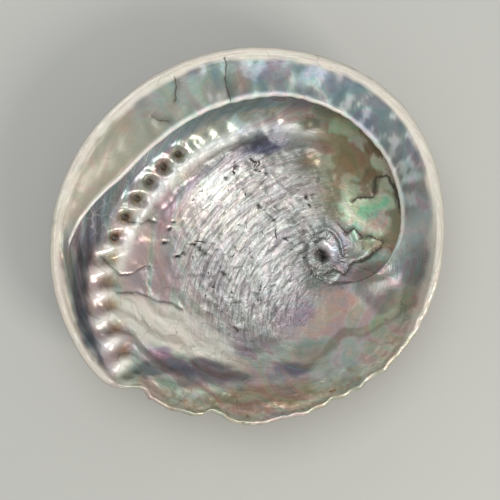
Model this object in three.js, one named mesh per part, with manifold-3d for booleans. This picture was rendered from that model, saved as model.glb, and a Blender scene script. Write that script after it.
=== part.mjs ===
// A large abalone shell lying on its back, mouth up. Millimetres, +Z up.
// The shell grew as one piece, so it is one solid: an outer dome, the bowl inside it, and the
// flat shelf of the inner lip that overhangs the bowl and winds down into the spire.
// The origin is under the middle of the mouth, on the surface that the shell rests on.

import * as THREE from 'three';
import { ParametricGeometry } from 'three/addons/geometries/ParametricGeometry.js';
import { mergeVertices } from 'three/addons/utils/BufferGeometryUtils.js';
import Module from 'manifold-3d';

// ---- driving dimensions ----

const COLUMNS = 76; // sections round the spire
const ROWS = { floor: 20, underside: 5, edge: 3, shelf: 7, rim: 3, back: 21 };

const MOUTH_RADIUS = 87.5; // the mouth's outline is nearly round, and these are its bulges
const SPIRE = new THREE.Vector2( 36, - 7 ); // the spire's axis, seen from above
const LOWEST = new THREE.Vector2( 4, 11 ); // the back's lowest spot, below the shell's weight
const HEIGHT = 50; // the rim's highest stretch, above the shelf
const WORN_DEPTH = 0.4; // how much of the back's lowest spot is worn flat
const FLOOR_THICKNESS = 3.2;
const WALL = { shelf: 3.4, lip: 2.2 }; // wall under the shelf's side, and at the growing lip
const SHELF_THICKNESS = 4.2;
const SHELF_EDGE = 2.6; // the shelf's thickness at its inner edge
const SHELF_NOSE = { depth: 0.9, flat: 0.4, risen: 3 }; // the edge's round nose, full where it stands this high
const SHELF_CROWN = 1.2; // how far the wide shelf's top bulges up
const RIM_CLEARANCE = { across: 2.4, down: 1.5 }; // least room between the shelf's edge and the rim
const RIM_CROWN = 0.6; // how far the rim's round top stands above its two sides
const KEEL_SOFTNESS = 0.035; // how far the bend at the hole row is rounded, as a share of height
const SIDE_BULGE = 0.38; // how much the side above that bend curves outwards
const LIP_CURVE = 2.1; // the lip's side rises by this power of the way out

const SPIRE_BULGE = { depth: 2, radius: 17 }; // the low coil that stands out of the back
const SPIRE_PIT = { radius: 2.7, depth: 3.2 }; // the small deep end of the spire's hollow

// The respiratory holes, as angles round the spire, and the spiral that they lie on.
const HOLES = { first: 175.5, step: - 6, count: 6, radius: 2.3, taper: 0.85, length: 26 };
const HOLE_SPIRAL = { radius: 99.8, at: 180, growth: 0.0054 };

// Outlines by angle in degrees: each pair is an angle and the value there.
const OUTLINE = [ // mouth radius about the middle, as a share of MOUTH_RADIUS
	[ 0, 1.0 ], [ 40, 1.036 ], [ 80, 0.972 ], [ 130, 0.942 ], [ 180, 0.996 ], [ 206, 1.025 ],
	[ 225, 1.035 ], [ 238, 0.978 ], [ 262, 0.962 ], [ 300, 0.962 ], [ 330, 0.994 ],
];
const CHIPS = [ // nicks in the thin growing edge: angle about the middle, half width, depth
	{ angle: 234, spread: 4, depth: 2.6 }, { angle: 259, spread: 4, depth: 3.6 },
	{ angle: 298, spread: 4, depth: 1 },
];
const RIM_HEIGHT = [ // as a share of HEIGHT, by angle about the middle
	[ 0, 0.92 ], [ 50, 0.97 ], [ 110, 1.0 ], [ 170, 0.96 ], [ 222, 0.88 ], [ 270, 0.83 ], [ 320, 0.87 ],
];
const KEEL_REACH = [ // where the hole row bends the wall, as a share of the mouth radius
	[ 10, 0.85 ], [ 40, 0.79 ], [ 66, 0.71 ], [ 90, 0.66 ], [ 128, 0.62 ], [ 150, 0.645 ], [ 180, 0.69 ],
	[ 205, 0.79 ], [ 224, 0.86 ], [ 245, 0.9 ], [ 320, 0.9 ],
];
const KEEL_RISE = [ // how high that bend lies, as a share of the rim's height
	[ 350, 0.4 ], [ 15, 0.34 ], [ 60, 0.29 ], [ 95, 0.25 ], [ 130, 0.23 ], [ 155, 0.26 ], [ 180, 0.33 ],
	[ 205, 0.5 ], [ 224, 0.7 ], [ 245, 0.8 ], [ 320, 0.7 ],
];
const SHELF_LINE = [ // the shelf's inner edge, as a radius round the spire
	[ 258, 12 ], [ 285, 14.2 ], [ 315, 18.5 ], [ 345, 26.5 ], [ 15, 35 ], [ 45, 45.2 ], [ 75, 58.5 ],
	[ 105, 72.8 ], [ 135, 85.5 ], [ 158, 98 ], [ 174, 113 ], [ 188, 114 ], [ 205, 86 ], [ 222, 30 ],
	[ 235, 12 ],
];
const SHELF_LIFT = [ // how far that edge lies above the bowl's floor
	[ 232, 0 ], [ 258, 1.4 ], [ 285, 3 ], [ 315, 5 ], [ 345, 9.5 ], [ 15, 15.5 ], [ 45, 20 ], [ 75, 23 ],
	[ 105, 25 ], [ 135, 24 ], [ 158, 15 ], [ 174, 4 ], [ 188, 0 ], [ 210, 0 ],
];

// ---- small helpers ----

const RAD = Math.PI / 180;
const { lerp, smoothstep } = THREE.MathUtils;
const turn = ( degrees ) => ( ( degrees % 360 ) + 360 ) % 360;

// A smooth closed curve of one value over the angle, through the given pairs.
function cyclic( pairs ) {

	const sorted = [ ...pairs ].sort( ( a, b ) => a[ 0 ] - b[ 0 ] );
	const count = sorted.length;
	const knot = ( i ) => {

		const lap = Math.floor( i / count );
		const [ angle, value ] = sorted[ i - lap * count ];
		return [ angle + 360 * lap, value ];

	};

	const slope = ( i ) => ( knot( i + 1 )[ 1 ] - knot( i - 1 )[ 1 ] ) / ( knot( i + 1 )[ 0 ] - knot( i - 1 )[ 0 ] );
	return ( degrees ) => {

		const angle = turn( degrees );
		let i = - 1;
		while ( i + 1 < count && sorted[ i + 1 ][ 0 ] <= angle ) i ++;
		const [ a0, v0 ] = knot( i );
		const [ a1, v1 ] = knot( i + 1 );
		const span = a1 - a0;
		const t = ( angle - a0 ) / span;
		const t2 = t * t;
		const t3 = t2 * t;
		return v0 * ( 2 * t3 - 3 * t2 + 1 ) + v1 * ( 3 * t2 - 2 * t3 )
			+ slope( i ) * span * ( t3 - 2 * t2 + t ) + slope( i + 1 ) * span * ( t3 - t2 );

	};

}

const outlineShare = cyclic( OUTLINE );
const rimShare = cyclic( RIM_HEIGHT );
const keelReach = cyclic( KEEL_REACH );
const keelRise = cyclic( KEEL_RISE );
const shelfLine = cyclic( SHELF_LINE );
const shelfLift = cyclic( SHELF_LIFT );

const mouthRadius = ( angle ) => MOUTH_RADIUS * outlineShare( angle );
const chipDepth = ( angle ) => CHIPS.reduce(
	( sum, chip ) => sum + chip.depth * Math.exp( - ( ( ( angle - chip.angle ) / chip.spread ) ** 2 ) ), 0 );
const rimHeight = ( angle ) => HEIGHT * rimShare( angle );

// 1 along the growing lip at the bottom of the mouth, 0 along the keeled side.
function lipShare( angle ) {

	const a = turn( angle );
	return smoothstep( a, 222, 240 ) * ( 1 - smoothstep( a, 318, 352 ) );

}

const wallThickness = ( angle ) => lerp( WALL.shelf, WALL.lip, lipShare( angle ) );

// ---- the bowl: a height over each point of the plan ----

// The share of the rim's height at a share q of the way out: a shallow dish up to the keel that
// carries the holes, then a steep side. The lip's side has no keel and is one even curve.
function bowlProfile( q, angle ) {

	const reach = keelReach( angle );
	const rise = keelRise( angle );
	const dish = rise * ( q / reach ) ** 2;
	const out = ( q - reach ) / ( 1 - reach );
	const side = rise + ( 1 - rise ) * out * ( 1 - SIDE_BULGE + SIDE_BULGE * Math.max( 0, out ) );
	const keeled = ( dish + side + Math.hypot( dish - side, KEEL_SOFTNESS ) ) / 2;
	return lerp( keeled, q ** LIP_CURVE, lipShare( angle ) );

}

// The angle and the share of the way out of a point of the plan. The mouth's outline shrinks
// towards the lowest spot, so the shrunken outlines' middles lie between it and the mouth's.
function placeInBowl( x, y, wall ) {

	let q = 0.5;
	let angle = 0;
	for ( let i = 0; i < 12; i ++ ) {

		const dx = x - LOWEST.x * ( 1 - q );
		const dy = y - LOWEST.y * ( 1 - q );
		angle = Math.atan2( dy, dx ) / RAD;
		q = Math.hypot( dx, dy ) / ( mouthRadius( angle ) - wall( angle ) );

	}

	return { angle, q };

}

function backHeight( x, y ) {

	const { angle, q } = placeInBowl( x, y, () => 0 );
	const fromSpire = Math.hypot( x - SPIRE.x, y - SPIRE.y ) / SPIRE_BULGE.radius;
	const bulge = SPIRE_BULGE.depth * Math.exp( - ( fromSpire ** 2 ) );
	return Math.max( 0, rimHeight( angle ) * bowlProfile( q, angle ) - WORN_DEPTH - bulge );

}

function floorHeight( x, y ) {

	const { angle, q } = placeInBowl( x, y, wallThickness );
	const fromSpire = Math.hypot( x - SPIRE.x, y - SPIRE.y ) / SPIRE_PIT.radius;
	const pit = SPIRE_PIT.depth * Math.exp( - ( fromSpire ** 4 ) );
	return FLOOR_THICKNESS + ( rimHeight( angle ) - FLOOR_THICKNESS ) * bowlProfile( q, angle ) - pit;

}

// ---- one section: from the spire out over the floor, under and over the shelf, to the rim and
// back along the outside ----

function section( angle ) {

	const wall = wallThickness( angle );
	const rimRadius = mouthRadius( angle ) - chipDepth( angle );
	const rim = new THREE.Vector2( Math.cos( angle * RAD ), Math.sin( angle * RAD ) ).multiplyScalar( rimRadius );
	const way = rim.clone().sub( SPIRE );
	const reach = way.length();
	way.normalize();
	const turnAngle = turn( Math.atan2( way.y, way.x ) / RAD );
	const at = ( r ) => [ SPIRE.x + way.x * r, SPIRE.y + way.y * r ];
	const floor = ( r ) => floorHeight( ...at( r ) );

	const inner = reach - wall;
	const top = Math.min( rimHeight( angle ), floor( inner ) );
	const edge = Math.min( shelfLine( turnAngle ), inner - RIM_CLEARANCE.across );
	const lift = Math.max( 0, shelfLift( turnAngle ) );
	const edgeHeight = Math.min( floor( edge ) + lift, Math.max( top - RIM_CLEARANCE.down, floor( edge ) ) );
	const risen = edgeHeight - floor( edge );
	const opened = smoothstep( ( turnAngle + 90 ) % 360, 60, 125 );
	const flatness = opened * ( turnAngle < 270 ? 1 - smoothstep( turnAngle, 172, 200 ) : 1 );

	// The shelf's top: level and plain where it is wide, and part of the bowl's wall where it
	// has become the side of the whorl.
	const shelfTop = ( r ) => {

		const t = THREE.MathUtils.clamp( ( r - edge ) / ( inner - edge ), 0, 1 );
		const wallLike = floor( r ) + risen * ( 1 - t ) ** 2;
		const plain = lerp( edgeHeight, top, t ) + SHELF_CROWN * Math.sin( Math.PI * t );
		return lerp( wallLike, plain, flatness );

	};

	const plate = Math.min( SHELF_THICKNESS, 0.75 * risen );
	let foot = edge - 1; // where the wall meets the shelf's underside
	if ( risen > SHELF_THICKNESS ) {

		let low = edge;
		let high = inner;
		for ( let i = 0; i < 30; i ++ ) {

			const middle = ( low + high ) / 2;
			if ( floor( middle ) < shelfTop( middle ) - plate ) low = middle;
			else high = middle;

		}

		foot = lerp( edge - 1, low, smoothstep( risen, SHELF_THICKNESS, SHELF_THICKNESS + 3 ) );

	}

	// The edge is a round nose where the shelf overhangs, and unrolls flat where there is none.
	const folded = smoothstep( risen, 0, SHELF_NOSE.risen );
	const nose = SHELF_NOSE.depth * folded;
	const underReach = edge + lerp( - SHELF_NOSE.flat, nose, folded );
	const topReach = edge + lerp( SHELF_NOSE.flat, nose, folded );
	const lipEdge = Math.min( SHELF_EDGE, 0.7 * risen );
	const underHeight = floor( underReach ) + Math.max( 0.1 * risen, risen - lipEdge );

	const rowPoint = {
		floor: ( t ) => {

			const r = foot * ( 0.3 * t + 0.7 * t ** 1.6 );
			return [ r, floor( r ) ];

		},
		underside: ( t ) => {

			const r = lerp( foot, underReach, t );
			const depthAtFoot = shelfTop( foot ) - floor( foot );
			const depthAtEdge = shelfTop( underReach ) - underHeight;
			return [ r, shelfTop( r ) - lerp( depthAtFoot, depthAtEdge, t ) ];

		},
		edge: ( t ) => [
			lerp( underReach, topReach, t ) - nose * Math.sin( Math.PI * t ),
			lerp( underHeight, shelfTop( topReach ), t ),
		],
		shelf: ( t ) => {

			const r = lerp( topReach, inner, t );
			return [ r, shelfTop( r ) ];

		},
		rim: ( t ) => [
			lerp( inner, reach, t ),
			lerp( top, backHeight( ...at( reach ) ), t ) + RIM_CROWN * Math.sin( Math.PI * t ),
		],
		back: ( t ) => {

			const r = reach * ( 1 - t ) ** 1.2;
			return [ r, backHeight( ...at( r ) ) ];

		},
	};

	return ( stretch, t ) => {

		const [ r, z ] = rowPoint[ stretch ]( t );
		return new THREE.Vector3( ...at( r ), z );

	};

}

// ---- the closed surface ----

const stretches = Object.entries( ROWS );
const rowCount = stretches.reduce( ( sum, [ , rows ] ) => sum + rows, 0 );

function shellSurface( u, v, target ) {

	const place = section( turn( - 360 * u ) );
	let row = THREE.MathUtils.clamp( v, 0, 1 ) * rowCount;
	for ( const [ stretch, rows ] of stretches ) {

		if ( row <= rows + 1e-9 ) {

			target.copy( place( stretch, Math.min( 1, row / rows ) ) );
			return;

		}

		row -= rows;

	}

}

// Shared vertices are merged, and the triangles that shrink to nothing at the two poles go.
function closedSolid( geometry, { Manifold, Mesh } ) {

	const bare = new THREE.BufferGeometry();
	bare.setAttribute( 'position', geometry.getAttribute( 'position' ) );
	bare.setIndex( geometry.getIndex() );
	const merged = mergeVertices( bare, 1e-3 );
	const corners = merged.getIndex().array;
	const kept = [];
	for ( let i = 0; i < corners.length; i += 3 ) {

		const [ a, b, c ] = corners.slice( i, i + 3 );
		if ( a !== b && b !== c && c !== a ) kept.push( a, b, c );

	}

	return new Manifold( new Mesh( {
		numProp: 3,
		vertProperties: new Float32Array( merged.getAttribute( 'position' ).array ),
		triVerts: new Uint32Array( kept ),
	} ) );

}

// A tapered plug square to the keel, wider inside, where one of the holes goes through.
function holePlug( index ) {

	const angle = HOLES.first + HOLES.step * index;
	const r = HOLE_SPIRAL.radius * Math.exp( HOLE_SPIRAL.growth * ( angle - HOLE_SPIRAL.at ) );
	const x = SPIRE.x + r * Math.cos( angle * RAD );
	const y = SPIRE.y + r * Math.sin( angle * RAD );
	const step = 2;
	const slopeX = ( backHeight( x + step, y ) - backHeight( x - step, y ) ) / ( 2 * step );
	const slopeY = ( backHeight( x, y + step ) - backHeight( x, y - step ) ) / ( 2 * step );
	const inward = new THREE.Vector3( - slopeX, - slopeY, 1 ).normalize();
	const plug = new THREE.CylinderGeometry( HOLES.radius, HOLES.radius * HOLES.taper, HOLES.length, 12 );
	plug.applyQuaternion( new THREE.Quaternion().setFromUnitVectors( new THREE.Vector3( 0, 1, 0 ), inward ) );
	plug.translate( x, y, backHeight( x, y ) );
	return plug;

}

// ---- build ----

const wasm = await Module();
wasm.setup();

let solid = closedSolid( new ParametricGeometry( shellSurface, COLUMNS, rowCount ), wasm );
for ( let i = 0; i < HOLES.count; i ++ ) solid = solid.subtract( closedSolid( holePlug( i ), wasm ) );

const { vertProperties, triVerts, numProp } = solid.getMesh();
const geometry = new THREE.BufferGeometry();
const positions = new Float32Array( ( vertProperties.length / numProp ) * 3 );
for ( let i = 0; i < positions.length; i ++ ) positions[ i ] = vertProperties[ Math.floor( i / 3 ) * numProp + i % 3 ];
geometry.setAttribute( 'position', new THREE.BufferAttribute( positions, 3 ) );
geometry.setIndex( new THREE.BufferAttribute( new Uint32Array( triVerts ), 1 ) );
geometry.computeVertexNormals();

const nacre = new THREE.MeshStandardMaterial( { color: 0xb9b4ae, roughness: 0.28, metalness: 0 } );
const shell = new THREE.Mesh( geometry, nacre );
shell.name = 'shell';

const abaloneShell = new THREE.Group();
abaloneShell.add( shell );

export default abaloneShell;
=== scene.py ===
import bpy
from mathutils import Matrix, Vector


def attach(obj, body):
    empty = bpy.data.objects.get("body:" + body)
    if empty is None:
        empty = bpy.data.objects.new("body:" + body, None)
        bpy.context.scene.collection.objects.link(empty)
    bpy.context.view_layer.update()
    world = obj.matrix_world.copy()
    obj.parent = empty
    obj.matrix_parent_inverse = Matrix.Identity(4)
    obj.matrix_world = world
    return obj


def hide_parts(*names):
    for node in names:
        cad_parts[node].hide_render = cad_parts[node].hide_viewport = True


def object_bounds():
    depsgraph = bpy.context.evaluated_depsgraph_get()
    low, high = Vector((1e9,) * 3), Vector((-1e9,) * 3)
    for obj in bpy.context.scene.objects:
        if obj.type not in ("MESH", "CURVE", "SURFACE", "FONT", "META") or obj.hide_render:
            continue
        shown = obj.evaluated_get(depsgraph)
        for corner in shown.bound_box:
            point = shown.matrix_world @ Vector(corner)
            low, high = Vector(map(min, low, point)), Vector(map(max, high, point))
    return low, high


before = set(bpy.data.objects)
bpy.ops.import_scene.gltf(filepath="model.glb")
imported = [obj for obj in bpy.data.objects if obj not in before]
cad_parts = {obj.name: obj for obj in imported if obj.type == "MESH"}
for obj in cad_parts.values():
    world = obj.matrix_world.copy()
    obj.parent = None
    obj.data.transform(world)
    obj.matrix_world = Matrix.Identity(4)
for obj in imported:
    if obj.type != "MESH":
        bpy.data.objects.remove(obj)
CAD_BOX = [[float(v) for v in corner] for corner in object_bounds()]

import math
from collections import namedtuple

import bpy
import numpy as np
from mathutils import Vector

bl_info = {
    "name": "Abalone Shell",
    "version": (1, 0, 0),
    "blender": (4, 5, 0),
    "location": "View3D > Sidebar > Shell",
    "description": "Builds a large abalone shell lying on its back, with its nacre and its rough back",
    "category": "Add Mesh",
}

MM = 0.001
TAU = 2 * math.pi
CAD_SIZE = tuple(high - low for low, high in zip(*CAD_BOX))
Grid = namedtuple("Grid", "points stretch turned reach inner edge shelf_share holes")

# ---- the shell's form, in millimetres and degrees ----

MOUTH_RADIUS = 87.5
SPIRE = (36.0, -7.0)  # the spire's axis, seen from above
LOWEST = (4.0, 11.0)  # the back's lowest spot, below the shell's weight
WORN_DEPTH = 0.4  # how much of that spot is worn flat
HEIGHT = 50.0
RIM_CROWN = 0.6  # how far the rim's round top stands above its two sides
RAGGED_EDGE = 0.55  # how uneven the growing edge is between its nicks
FLOOR_THICKNESS = 3.2
WALL_SHELF, WALL_LIP = 3.4, 2.2
SHELF_THICKNESS, SHELF_EDGE = 4.2, 2.6
SHELF_CROWN = 1.2  # how far the wide shelf's top bulges up
NOSE_DEPTH, NOSE_FLAT, NOSE_RISEN = 0.9, 0.4, 3  # the edge's round nose, full where it stands this high
CLEAR_ACROSS, CLEAR_DOWN = 2.4, 1.5  # least room between the shelf's edge and the rim
SPIRE_BULGE_DEPTH, SPIRE_BULGE_RADIUS = 2.0, 17.0
PIT_RADIUS, PIT_DEPTH = 2.7, 3.2  # the small deep end of the spire's hollow
KEEL_SOFTNESS = 0.035  # how far the bend at the hole row is rounded, as a share of height
SIDE_BULGE = 0.38  # how much the side above that bend curves outwards
LIP_CURVE = 2.1  # the lip's side rises by this power of the way out

# Outlines by angle in degrees: each pair is an angle and the value there.
OUTLINE = [  # mouth radius about the middle, as a share of MOUTH_RADIUS
    (0, 1.0), (40, 1.036), (80, 0.972), (130, 0.942), (180, 0.996), (206, 1.025), (225, 1.035),
    (238, 0.978), (262, 0.962), (300, 0.962), (330, 0.994),
]
CHIPS = [  # nicks in the thin growing edge: angle about the middle, half width, depth
    (234, 4, 2.6), (259, 4, 3.6), (298, 4, 1.0),
]
RIM_HEIGHT = [  # as a share of HEIGHT, by angle about the middle
    (0, 0.92), (50, 0.97), (110, 1.0), (170, 0.96), (222, 0.88), (270, 0.83), (320, 0.87),
]
KEEL_REACH = [  # where the hole row bends the wall, as a share of the mouth radius
    (10, 0.85), (40, 0.79), (66, 0.71), (90, 0.66), (128, 0.62), (150, 0.645), (180, 0.69), (205, 0.79),
    (224, 0.86), (245, 0.9), (320, 0.9),
]
KEEL_RISE = [  # how high that bend lies, as a share of the rim's height
    (350, 0.4), (15, 0.34), (60, 0.29), (95, 0.25), (130, 0.23), (155, 0.26), (180, 0.33), (205, 0.5),
    (224, 0.7), (245, 0.8), (320, 0.7),
]
SHELF_LINE = [  # the shelf's inner edge, as a radius round the spire
    (258, 12), (285, 14.2), (315, 18.5), (345, 26.5), (15, 35), (45, 45.2), (75, 58.5), (105, 72.8),
    (135, 85.5), (158, 98), (174, 113), (188, 114), (205, 86), (222, 30), (235, 12),
]
SHELF_LIFT = [  # how far that edge lies above the bowl's floor
    (232, 0), (258, 1.4), (285, 3), (315, 5), (345, 9.5), (15, 15.5), (45, 20), (75, 23), (105, 25),
    (135, 24), (158, 15), (174, 4), (188, 0), (210, 0),
]

# The respiratory holes lie on a spiral round the spire. They are numbered by age: 0 is the newest
# that goes through, the oldest are sealed into pearls, and the newest of all, with numbers below 0,
# are hollows near the edge.
HOLE_RADIUS_AT_LEFT = 99.8
HOLE_GROWTH = 0.0054  # the spiral's growth, per degree
HOLE_DRIFT, HOLE_DRIFT_SPAN = 4.5, 9  # how far it still moves out past the left, and over what angle
HOLE_SPACING = 6.0  # degrees round the spire
FIRST_OPEN = 175.5
OPEN_HOLES, NEW_HOLLOWS, SEALED_HOLES, OLD_BUMPS = 6, 5, 15, 45
PEARL_HEIGHTS = (1.2, 0.5, 1.0, 0.3, 0.7, 1.5, 0.4, 1.1, 0.3, 0.9, 0.5, 0.2, 0.6, 0.3, 0.2)
PEARL_WIDTHS = (2.6, 2.4, 3.2, 2.2, 2.6, 4.2, 2.4, 3.4, 2.0, 3.0, 2.4, 1.8, 2.4, 1.8, 1.6)
HOLLOW_SHIFT = -2.4  # outwards from the row, so the hollows lie a little inside it
HOLE_RADIUS = 1.4
HOLE_TAPER = 0.62  # the channel's width on the back, as a share of that on the inside
CHANNEL_WAIST = 0.06  # how much a channel narrows between its ends
SHELL_GROWTH = 0.0059  # how fast the whole shell grew, per degree round the spire

# The grid's rows along one section, from the bowl's deep end to the back's middle.
COLUMNS = 400
SECTION_LEAN = 14.3  # degrees by which sections lie closer on the hole row's side
ROWS = {"floor": 98, "underside": 8, "edge": 5, "shelf": 56, "rim": 5, "back": 72}
CLOSE_ROWS = [  # where rows lie close together, as a radius round the spire: along the hole row
    (0, 38), (30, 44), (60, 52), (90, 61), (120, 72), (150, 85), (180, 99.8), (205, 103), (240, 85),
    (300, 50),
]
CLOSE_AT_SPIRE, CLOSE_AT_ROW = 8, 16  # how wide the bands of close rows are
FLOOR_STOPS = (0, 0.08, 0.64, 0.82, 1)  # shares of the rows at the stops of close_up
BACK_STOPS = (0, 0.09, 0.5, 0.77, 1)
HOLE_BLOCK = 2  # half the width, in cells, of the block of the grid that a hole takes
HOLE_REACH = 5  # half the width of the block that is bent round it
RING_GROWTH = 0.33  # each ring of that block is wider by this share of the hole's radius

# ---- places on the shell, in millimetres seen from above ----

SUTURE_CORD = 1.93  # where one whorl meets the next, as the second value of growth_field
COIL_LINE = [  # the groove that winds from the shelf's edge into the spire: angle and radius
    (285, 14.5), (265, 12), (230, 10), (183, 8.8), (138, 9.7), (106, 10.7), (78, 12.4), (44, 10.8),
    (6, 9.7), (325, 11.5),
]
SCAR = ((3, 1), (36, 49), -8)  # the muscle scar's middle, half sizes and turn
SCAR_HIGHLIGHT_PATCH = ((-22, 30), (22, 13), 40)  # the part of it painted near white as a highlight
PORCELAIN = ((-34, -42), (32, 9.5), -23)  # a smooth cream patch with hardly any play of colour
THREADS = ((-69, 14), (8, 11), 0)  # where threads of dried skin cling to the wall
FIBRE_MIDDLE = (49, -43)  # the scar's fibres run in arcs round this place
FIBRE_LENGTH = 70  # the radius of the arc on which lengths along the fibres are measured
BLISTER = (30.4, 38.4)
RIDGE_INSIDE = 5.4  # how far inside the hole row its ridge runs
LIP_LAYERS = (2.4, 5.2, 9.0)  # how far from the edge the lip's thin layers end
LOBES = [  # low swellings inside the hole row
    (-51.5, 14), (-47, 3), (-54.5, -9), (-44.5, -14), (-42, -24),
]
SEAMS = [  # dark seams that wind between those swellings, as broken lines
    [(-67.4, -7), (-64, -12.8), (-59, -17), (-53, -16.4), (-48.7, -12.8), (-45, -13.5)],
    [(-60.3, -25), (-50.6, -25.2), (-43, -29), (-36, -30), (-31, -33)],
    [(-56, 8), (-50, 7), (-47, 9.5), (-43, 8)],
]
PITS = [  # small dark holes in and near the scar: middle, half sizes, turn
    ((-22.5, -4.5), (1.7, 0.9), -45), ((-25.5, -2.2), (1.8, 0.7), -10), ((-19.5, -6.8), (0.8, 1.3), 0),
    ((-39, -1.5), (0.9, 1.5), -20), ((-33, -8), (1.6, 0.7), 15), ((-30.5, -6.6), (1.2, 0.7), 20),
    ((-5.5, 34.7), (0.9, 1.2), -20), ((9, 31.6), (1.0, 0.8), 40), ((5.6, 15.8), (0.7, 1.1), 0),
    ((28.2, 20), (0.7, 0.9), 0), ((-10.4, 29.2), (0.7, 0.7), 0), ((-11.6, -16), (1.3, 0.5), -40),
    ((-35.5, 8.4), (0.7, 0.7), 0), ((27, 4), (0.8, 0.6), 0), ((-37, 5), (0.6, 1.2), -30),
    ((13, 9), (0.6, 0.8), 0), ((4, 33), (0.8, 0.6), 20),
]
CRACKS = [  # old cracks across the shelf, as broken lines
    [(-10.5, 82), (-9, 76), (-9.6, 70), (-7.6, 62)], [(-31.6, 70), (-31, 66), (-32, 61)],
    [(-42, 54), (-39, 52), (-35, 52)],
]
RECESS_CRACKS = [  # where the layers in the recess have parted, as broken lines
    [(44, 7), (47, 3), (51, 5.5), (54, 1), (59, 1), (64, -1)],
    [(37, -17), (41, -14), (46, -16.5), (50, -11), (56, -9), (63, -4)],
    [(50, 18), (53, 20), (60, 19.5), (61, 29), (66, 30), (69, 24), (72, 13)],
]
CRACK_REACH = 4  # the farthest that the distance beside a crack is told apart

# ---- tints, as sRGB hex ----

TINT = {  # the parts of the nacre that they are named after. The ridge, the crescent and the scar's brightest part are painted highlights; the knobs are pale cream lightened into a painted highlight; the two dark walls behind the hole row are painted shade; and the hole tint is dark pits, and painted shade in the spire's pit
    "bowl": "bab7b2", "scar": "cfccc8", "polished": "fafafa", "band": "7d6c58", "row": "93887a",
    "shaded_wall": "94a2ac", "streaky_wall": "5f6266", "left_wall": "b3a8a0", "gully": "85818c",
    "ridge": "fafaf6", "knob": "f6f2e6", "new_hollow": "a58a66", "hollow": "83704f", "hole": "1d1611",
    "seam": "4f5a58", "lobe": "d3cbc6", "recess": "90866f", "recess_cream": "c2bba4",
    "crack": "4b4238", "spire": "8b8a88", "crescent": "f0f2f0", "blister": "a8957c",
    "ripple_dark": "647781", "ripple_light": "c9d4d6", "cloud": "cfd2d6", "rim": "d6cfc0",
    "thin_lip": "d9d2c2", "layer_end": "8e7655",
}
FLOOR_TINTS = [  # middle, half sizes, turn, share, colour
    ((-46, 12), (10, 9), 20, 0.7, "b99fa2"), ((-40, -8), (9, 9), 0, 0.6, "c2bbab"),
    ((-48, -20), (10, 8), 0, 0.7, "a3a8a4"), ((-35, -16), (13, 7), -20, 0.7, "b5a39f"),
    ((62, -20), (9, 15), -15, 0.85, "817872"), ((20, -76), (48, 9), 8, 0.75, "c0b4a1"),
    ((66, -44), (9, 22), -25, 0.7, "b9af9f"), PORCELAIN + (1.0, "dcd6c9"),
    ((-19, -59), (18, 5.5), -10, 0.9, "68656f"), ((-42, -57), (13, 3.5), 22, 0.85, "6a7075"),
    ((-43, -51), (6, 3.5), 10, 0.8, "ab8fa3"), ((-36, -66), (14, 4), 12, 0.8, "a9b5a8"),
    ((-20, -68), (9, 2), 4, 0.9, "ddd7c5"), ((8, -71), (27, 6), 8, 0.85, "a9967e"),
    ((25, -73), (11, 3), 20, 0.8, "a08a6c"), ((6, -81), (24, 3.5), 6, 0.8, "ece6d6"),
    ((7, -48), (10, 5), 15, 0.8, "80747f"), ((24, -58), (11, 3.5), 12, 0.85, "656979"),
    ((36, -32), (15, 10), 35, 0.8, "bdb8a0"), ((43, -29), (8, 6), 30, 0.7, "d0b29e"),
    ((18, -33), (8.5, 7), 20, 0.85, "8c7893"), ((31, -48), (7, 4), 20, 0.6, "84908a"),
    ((53, -43), (25, 3.2), 29, 0.7, "857a6a"), ((62, -36), (16, 3), 35, 0.6, "b9bd9f"),
    ((45, -37), (14, 5), 25, 0.6, "bfaaa6"),
]
ROW_TINTS_AND_HIGHLIGHTS = [  # the same, over the ridge beside the hole row; the near-white ones are painted highlights on its pearls
    ((10, 47), (10, 3.5), 10, 0.8, "565a72"), ((16, 51.5), (4.5, 4), 0, 0.9, "eef3fb"),
    ((-2, 54), (7, 3), 20, 0.7, "e6edf2"), ((0, 48), (7, 3), 15, 0.7, "6d7a7c"),
    ((28.5, 55.5), (6, 3.5), 0, 0.8, "4a4036"), ((23, 50), (4, 3), 0, 0.6, "d8dde0"),
]
RECESS_TINTS = [  # the same, in the recess under the shelf
    ((50, 42), (20, 9), -42, 0.8, "8f7a5a"), ((46, 52), (6, 3.5), -30, 0.9, "a9bda2"),
    ((54, 45), (6, 3.5), -50, 0.85, "b3b29c"), ((64, 36), (6, 3.5), -35, 0.9, "c0c0aa"),
    ((60, 42), (4, 3), 0, 0.8, "6f5a3f"), ((50, 25), (7, 6), 20, 0.8, "b0ad98"),
    ((57, 30), (5, 4), 0, 0.8, "7a6345"), ((68, 26), (3, 7), 15, 0.9, "b9b8a4"),
    ((57, 10), (13, 11), 10, 1.0, "c3c6ad"), ((59, 12), (6, 5), 30, 0.85, "93c7a4"),
    ((66, 7), (4, 5), 0, 0.5, "bfa596"), ((50, 3), (5, 3.5), 0, 0.85, "9fd0b4"),
    ((50, -6), (9, 4), 10, 0.7, "a59a86"), ((59, -8), (9, 2.6), 28, 0.8, "a3b5ab"),
]
SHELF_TINTS = [  # the shelf's tint on the near side of this angle round the spire
    (175, "9c9585"), (150, "8c8d82"), (138, "8b938c"), (118, "84918d"), (96, "75868d"), (75, "7c878b"),
    (52, "807e7d"), (22, "c0c3c8"),
]
SHELF_BLEND = 14  # half the angle over which one of these passes into the next
SHELF_PATCHES = [  # and a few patches of its own
    ((-2.5, 69), (3.6, 4.6), 0, 0.8, "857d72"), ((-56, 53), (6, 4.5), 20, 0.6, "a08b7a"),
    ((13.5, 76), (7, 6), 0, 0.6, "827a83"), ((6, 75), (2.0, 7), -25, 0.45, "c6d7e2"),
    ((28, 72), (10, 3), 30, 0.4, "bcd2de"), ((-27, 66), (8, 5), 20, 0.5, "9fb3a6"),
]

# ---- curves and noise ----

LATTICE = 128  # the noise repeats after this many squares


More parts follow.
